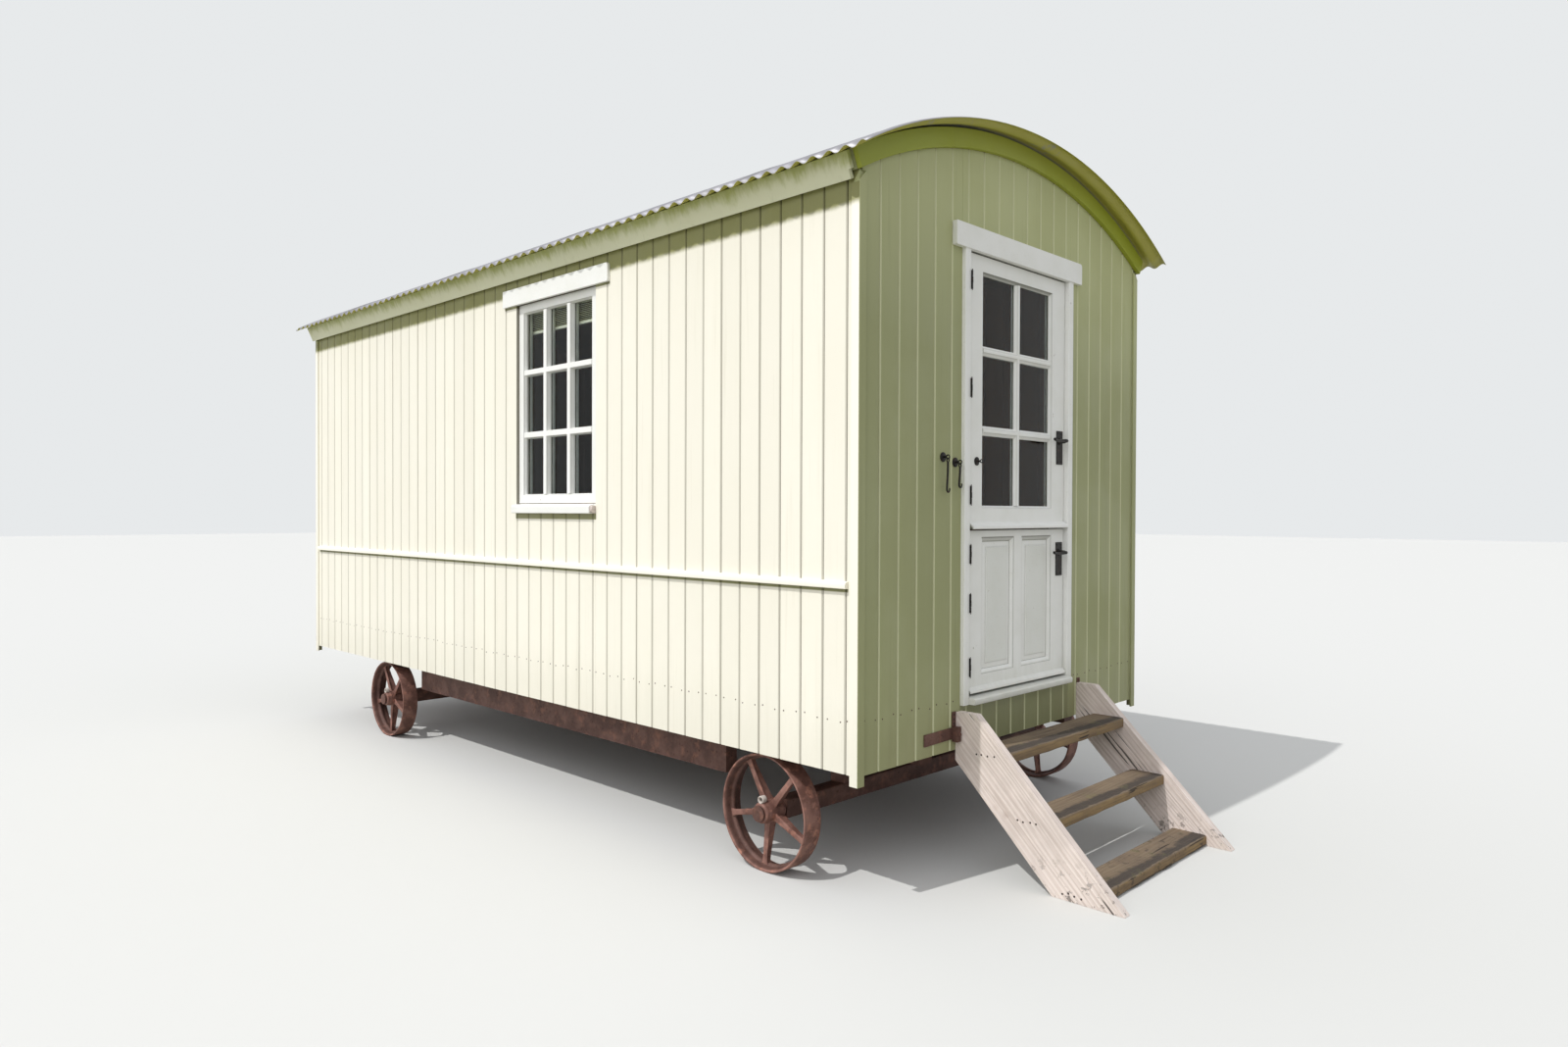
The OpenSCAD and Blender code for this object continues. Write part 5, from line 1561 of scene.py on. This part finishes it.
class HUT_OT_undercarriage(bpy.types.Operator):
    """Cast wheels, axles, rails and blocks"""
    bl_idname = "hut.undercarriage"
    bl_label = "Undercarriage"

    def execute(self, context):
        for node in frame["nodes"]:
            if node.startswith("wheel_"):
                self.wheel(node)
        for node in ("axle_front", "axle_rear"):
            self.axle(node)
        for node in ("chassis_rails", "side_rails", "axle_blocks"):
            finish_node(node, "Rusty steel")
        return {"FINISHED"}

    def wheel(self, node):
        """Cast wheel: the rim and the hub are profiles turned about the axle, each spoke a T carried
        outwards as it tapers."""
        lo, hi = corners(node)
        side = 1 if lo[0] > 0 else -1
        out = side * X
        centre = np.array([0, (lo[1] + hi[1]) / 2, (lo[2] + hi[2]) / 2])
        r = (hi[2] - lo[2]) / 2
        reach, back = max(abs(lo[0]), abs(hi[0])), min(abs(lo[0]), abs(hi[0]))
        face, rear = reach - 0.013, back + 0.005
        middle, half = (face + rear) / 2, (face - rear) / 2
        base = centre + side * middle * X
        shape = Shape()
        rim = eased([(r - 0.009, -half), (r, -half), (r, half), (r - 0.007, half), (r - 0.0125, half - 0.012),
                     (r - 0.0135, 0.012), (r - 0.022, 0.007), (r - 0.024, 0.0), (r - 0.022, -0.007),
                     (r - 0.0135, -0.012), (r - 0.0125, 0.012 - half)],
                    [0.002, 0.002, 0.002, 0.002, 0.004, 0.006, 0.003, 0.002, 0.003, 0.006, 0.004], 3)
        worn = np.where(rim[:, 0] > r - 0.0105, 0.4, -0.6)
        revolved(shape, rim, base, out, 96, tint=np.tile(worn, 96))
        hub = eased([(0.0262, -half - 0.004), (0.038, -half - 0.005), (0.041, -half + 0.004), (0.043, -0.012),
                     (0.044, 0.012), (0.0435, half - 0.012), (0.0405, half - 0.004), (0.0405, half + 0.006),
                     (0.036, half + 0.0125), (0.0262, half + 0.0125)], 0.003, 3)
        revolved(shape, hub, base, out, 48)
        for k in range(SPOKES):
            self.spoke(shape, base, out, math.radians(SPOKE_TURN + 360 / SPOKES * k), r - 0.016, k)
        cup = base + Z * 0.052 + out * (half - 0.012)
        profile = [(0.0100, 0.0), (0.0145, 0.0), (0.0150, 0.004), (0.0150, 0.020), (0.0140, 0.0225),
                   (0.0112, 0.0225), (0.0100, 0.020)]
        revolved(shape, profile, cup, out, 24, tint=1.0)
        # A dark disc inside the cup: painted shade of its hollow.
        turned(shape, [(0.0100, 0.002), (0.0100, 0.010), (0, 0.010)], cup, out, 16, finish=1)
        shape.build(node + "_casting", node + "_body", "rusty_iron", ["Rusty cast iron", "Dark slot"],
                    replaces=[node], angle=38)

    def spoke(self, shape, base, axis, angle, outer, key):
        """Section (across, along the axle) at each distance: strip and rib, both flared at the hub and the
        rim."""
        way = math.cos(angle) * Z + math.sin(angle) * np.cross(axis, Z)
        across = np.cross(way, axis)
        start = 0.034
        t = np.concatenate([[0, 0.04, 0.09, 0.15], np.linspace(0.22, 0.8, 7), [0.88, 0.94, 1.0]])
        flare = 0.35 * np.exp(-t * 14) + 0.35 * np.exp(-(1 - t) * 14)
        strip = 0.0135 - 0.0035 * t + 0.018 * flare
        thick = 0.0050 + 0.006 * flare
        rib = 0.0052 - 0.0012 * t + 0.010 * flare
        deep = 0.043 - 0.022 * t + 0.006 * flare
        front = np.full_like(t, 0.0135)
        corner, web = front - 0.001, front - thick
        section = [(-strip, web), (-strip, corner), (-strip + 0.002, front), (strip - 0.002, front),
                   (strip, corner), (strip, web), (rib * 1.7, web - 0.0015), (rib, web - 0.005),
                   (rib * 0.8, web - deep), (-rib * 0.8, web - deep), (-rib, web - 0.005),
                   (-rib * 1.7, web - 0.0015)]
        outline = np.stack([np.stack(pair, 1) for pair in section], 1)
        distance = start + (outer - start) * t
        points = base + distance[:, None, None] * way + outline[..., :1] * across + outline[..., 1:] * axis
        shape.add(points, closed_tube(*points.shape[:2]), tint=0.1 + 0.05 * key)

    def axle(self, node):
        """Square beam with eased arrises, turned spindles and end washers."""
        lo, hi = corners(node)
        y, z, half = (lo[1] + hi[1]) / 2, (lo[2] + hi[2]) / 2, (hi[1] - lo[1]) / 2
        end = hi[0]
        shape = Shape()
        beam = eased([(-half, -half), (half, -half), (half, half), (-half, half)], 0.008, 3)
        beam_end, start, washer = 0.9375, 0.93, end - 0.008
        prism(shape, beam, (0, y, z), Y, Z, X, -beam_end, beam_end, tint=0.1)
        reach = washer - start
        spindle = [(0, 0), (0.0249, 0), (0.0249, reach - 0.002), (0.0225, reach), (0, reach)]
        disc = [(0, 0.0005), (0.0312, 0.0005), (0.0318, 0.0012), (0.0318, 0.0048), (0.0305, 0.006),
                (0.0180, 0.0064), (0.0165, 0.0078), (0, 0.0079)]
        for side in (-1, 1):
            turned(shape, spindle, (side * start, y, z), side * X, 28)
            turned(shape, disc, (side * washer, y, z), side * X, 28)
        shape.build(node + "_bar", "hut", "rusty_iron", ["Rusty steel"], replaces=[node], angle=38)


class HUT_OT_steps(bpy.types.Operator):
    """Strings with their screws, and the three treads"""
    bl_idname = "hut.steps"
    bl_label = "Steps"

    def execute(self, context):
        lo, hi = corners("strings")
        top, foot = hi[2], lo[1]
        outline = np.array([(FRONT, top), (FRONT - 0.093, top), (foot, 0.0), (foot + 0.283, 0.0),
                            (FRONT, top - 0.1898)])
        shape = Shape()
        down, across = np.array([0, -1, -1]) / math.sqrt(2), np.array([0, -1, 1]) / math.sqrt(2)
        for x0, key in ((lo[0], 1), (hi[0] - STRING_THICK, 2)):
            ring = eased(outline, 0.003, 2)
            points = np.concatenate([np.column_stack([np.full(len(ring), x), ring])
                                     for x in (x0, x0 + STRING_THICK)])
            grain = np.stack([points @ down + key * 7, points @ across + key * 3, points[:, 0]], 1)
            shape.add(points, prism_faces(len(ring)), tint=0.15 * key, grain=grain)
            self.screws(shape, x0 if key == 1 else x0 + STRING_THICK, -1 if key == 1 else 1, key)
        shape.build("string_boards", "hut", "step_timber", ["Step strings", "Dark slot"],
                    replaces=["strings"], bevel=0.002, angle=30)
        for k in (1, 2, 3):
            self.tread(k)
        return {"FINISHED"}

    def screws(self, shape, x, side, key):
        """Four screw holes in a row over the end of each tread: dark discs that paint the shade inside
        them.
        """
        rng = seeded(71, key)
        for tread in (1, 2, 3):
            lo, hi = corners(f"tread_{tread}")
            z = (lo[2] + hi[2]) / 2
            for share in (0.40, 0.58, 0.76, 0.92):
                y = lo[1] + (hi[1] - lo[1]) * share + rng.uniform(-0.004, 0.004)
                base = (x, y, z + rng.uniform(-0.005, 0.005))
                turned(shape, [(0.0046, -0.004), (0.0046, 0.0003), (0, 0.0003)], base, side * X, 12, finish=1)

    def tread(self, k):
        """A worn plank: its section is carried along x; the upper face sinks by sines in both directions,
        where feet have dished it, and the front edge wavers by two sines."""
        lo, hi = corners(f"tread_{k}")
        rng = seeded(80, k)
        n = 25
        x = np.linspace(lo[0], hi[0], n)
        depth, thick = hi[1] - lo[1], hi[2] - lo[2]
        u = np.array([0.0, 0.02, 0.08, 0.2, 0.35, 0.5, 0.65, 0.8, 0.92, 0.98, 1.0])
        rounding = np.array([0.006, 0.0015, *np.zeros(7), 0.001, 0.005])
        upper = np.stack([u * depth, thick - rounding], 1)
        lower = np.array([(depth, 0.003), (depth - 0.003, 0.0), (depth * 0.5, 0.0), (0.004, 0.0),
                          (0.0, 0.004)])
        section = np.concatenate([upper, lower])
        points = np.empty((n, len(section), 3))
        t = np.linspace(0, 1, n)
        phase = rng.uniform(0, 6.28, 4)
        dish = 0.0032 * np.sin(math.pi * t) ** 2
        bruise = 0.0016 * (np.sin(t * 23 + phase[0]) + np.sin(t * 41 + phase[1])) * np.sin(math.pi * t)
        points[..., 0] = x[:, None]
        at_front = (section[:, 0] < 0.01)[None]
        points[..., 1] = lo[1] + section[None, :, 0] + at_front * (0.0022 + bruise[:, None])
        on_top = (section[:, 1] > thick * 0.6)[None]
        middle = np.clip(np.sin(math.pi * section[None, :, 0] / depth), 0, 1)
        wavy = 0.0006 * (1 + np.sin(t * 9 + phase[2]))
        points[..., 2] = lo[2] + section[None, :, 1] - on_top * (dish[:, None] * middle + wavy[:, None])
        grain = np.stack([points[..., 0] + 11 * k, points[..., 1] + 3 * k, points[..., 2]], -1)
        shape = Shape()
        worn = np.array([-0.8, 1.2, 1.7, 1.8, 1.5, 0.9, 0.6, 0.5, 0.5, 0.5, 0.5, 0.5, 0.5, 0.5, -0.8, -0.8])
        shape.add(points, closed_tube(n, len(section)), tint=np.tile(worn, n), grain=grain)
        shape.build(f"tread_{k}_plank", "hut", "step_timber", ["Step treads"], replaces=[f"tread_{k}"],
                    angle=40)


class HUT_OT_room(bpy.types.Operator):
    """Finish of the floor"""
    bl_idname = "hut.room"
    bl_label = "Room"

    def execute(self, context):
        finish_node("floor", "Floor boards")
        return {"FINISHED"}


# Stage

CAMERA_PLACE = (-3.758, -4.4175, 1.399)
CAMERA_TURN = (45.55, -0.67, 0.20)
LENS_MM = 23.04
SENSOR_MM = 36.0
FLOOR_REACH = 60.0
# Each lamp's name, its strength, its spread in degrees and the way towards it
LAMPS = (("sun", 2.15, 0.6, (-1.0, 0.18, 1.46)), ("open_side", 0.45, 45.0, (-1.0, -0.15, 0.45)))


def seen_directly(tree):
    """1 on the rays of the camera, of a reflection and through a pane; 0 on the rays that light the hut."""
    path = tree.nodes.new("ShaderNodeLightPath").outputs
    seen = maths(tree, "MAXIMUM", path["Is Camera Ray"], path["Is Glossy Ray"])
    return maths(tree, "MAXIMUM", seen, path["Is Transmission Ray"])


class HUT_OT_stage(bpy.types.Operator):
    """Pale floor, soft sun and sky, and the camera of the photograph"""
    bl_idname = "hut.stage"
    bl_label = "Stage"

    def execute(self, context):
        scene = context.scene
        scene.view_settings.view_transform = "Standard"
        reach = FLOOR_REACH
        mesh = bpy.data.meshes.new("ground")
        square = [(-reach, -reach, 0), (reach, -reach, 0), (reach, reach, 0), (-reach, reach, 0)]
        mesh.from_pydata(square, [], [(0, 1, 2, 3)])
        ground = bpy.data.objects.new("ground", mesh)
        scene.collection.objects.link(ground)
        pale = bpy.data.materials.new("Pale floor")
        pale.use_nodes = True
        tree = pale.node_tree
        shader = tree.nodes["Principled BSDF"]
        shader.inputs["Roughness"].default_value = 0.9
        floor = mix(tree, seen_directly(tree), (0.30, 0.295, 0.255), (0.62, 0.62, 0.605))
        tree.links.new(floor, shader.inputs["Base Color"])
        mesh.materials.append(pale)
        self.sky(scene)
        for name, energy, spread, way in LAMPS:
            lamp = bpy.data.lights.new(name, "SUN")
            lamp.energy = energy
            lamp.angle = math.radians(spread)
            lamp.color = (1.0, 0.99, 0.97)
            sun = bpy.data.objects.new(name, lamp)
            sun.matrix_world = Vector(way).to_track_quat("Z", "Y").to_matrix().to_4x4()
            scene.collection.objects.link(sun)
        self.camera(scene)
        return {"FINISHED"}

    def sky(self, scene):
        """Soft sky, stronger from above and from the open side; what the camera, a reflection or a pane
        sees of it is pale."""
        world = bpy.data.worlds.new("sky")
        world.use_nodes = True
        tree = world.node_tree
        tree.nodes.clear()
        way = split(tree, tree.nodes.new("ShaderNodeNewGeometry").outputs["Position"])
        light = put(tree, "ShaderNodeBackground")
        colour_of_light = mix(tree, ramp(tree, way["Z"], 0.0, 0.9), (0.46, 0.47, 0.48), (0.90, 0.92, 0.96))
        tree.links.new(colour_of_light, light.inputs["Color"])
        tree.links.new(ramp(tree, way["X"], 0.6, -0.9, 0.85, 1.25), light.inputs["Strength"])
        pale = put(tree, "ShaderNodeBackground", {"Color": (0.80, 0.82, 0.83, 1), "Strength": 1.0})
        both = tree.nodes.new("ShaderNodeMixShader")
        tree.links.new(seen_directly(tree), both.inputs[0])
        tree.links.new(light.outputs[0], both.inputs[1])
        tree.links.new(pale.outputs[0], both.inputs[2])
        end = tree.nodes.new("ShaderNodeOutputWorld")
        tree.links.new(both.outputs[0], end.inputs["Surface"])
        scene.world = world

    def camera(self, scene):
        """The photograph's camera: yaw, pitch and roll turned into right, up and backward axes."""
        yaw, pitch, roll = (math.radians(v) for v in CAMERA_TURN)
        level = np.array([math.sin(yaw), math.cos(yaw), 0])
        ahead = level * math.cos(pitch) + Z * math.sin(pitch)
        over = Z * math.cos(pitch) - level * math.sin(pitch)
        side = np.array([math.cos(yaw), -math.sin(yaw), 0])
        right = side * math.cos(roll) + over * math.sin(roll)
        up = over * math.cos(roll) - side * math.sin(roll)
        place = np.eye(4)
        place[:3, :3] = np.stack([right, up, -ahead], 1)
        place[:3, 3] = CAMERA_PLACE
        lens = bpy.data.cameras.new("view")
        lens.lens, lens.sensor_width = LENS_MM, SENSOR_MM
        camera = bpy.data.objects.new("view", lens)
        camera.matrix_world = Matrix(place.tolist())
        scene.collection.objects.link(camera)
        scene.camera = camera


OPERATORS = (HUT_OT_wall_boards, HUT_OT_trims, HUT_OT_roof, HUT_OT_windows, HUT_OT_door, HUT_OT_ironwork,
             HUT_OT_undercarriage, HUT_OT_steps, HUT_OT_room, HUT_OT_stage)


class HUT_PT_panel(bpy.types.Panel):
    """Sizes, colours and building steps of the hut"""
    bl_idname = "HUT_PT_panel"
    bl_label = "Shepherd's hut"
    bl_space_type = "VIEW_3D"
    bl_region_type = "UI"
    bl_category = "Hut"

    def draw(self, context):
        for settings in (context.scene.hut_sizes, context.scene.hut_colours):
            for name in settings.__annotations__:
                self.layout.prop(settings, name)
        for operator in OPERATORS:
            self.layout.operator(operator.bl_idname)


CLASSES = (HutSizes, HutColours, *OPERATORS, HUT_PT_panel)


def register():
    for made in CLASSES:
        bpy.utils.register_class(made)
    bpy.types.Scene.hut_sizes = PointerProperty(type=HutSizes)
    bpy.types.Scene.hut_colours = PointerProperty(type=HutColours)


def unregister():
    del bpy.types.Scene.hut_colours
    del bpy.types.Scene.hut_sizes
    for made in reversed(CLASSES):
        bpy.utils.unregister_class(made)


def main():
    """Registers the add-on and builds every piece."""
    register()
    for operator in OPERATORS:
        group_name, name = operator.bl_idname.split(".")
        getattr(getattr(bpy.ops, group_name), name)()


if __name__ == "__main__":
    main()
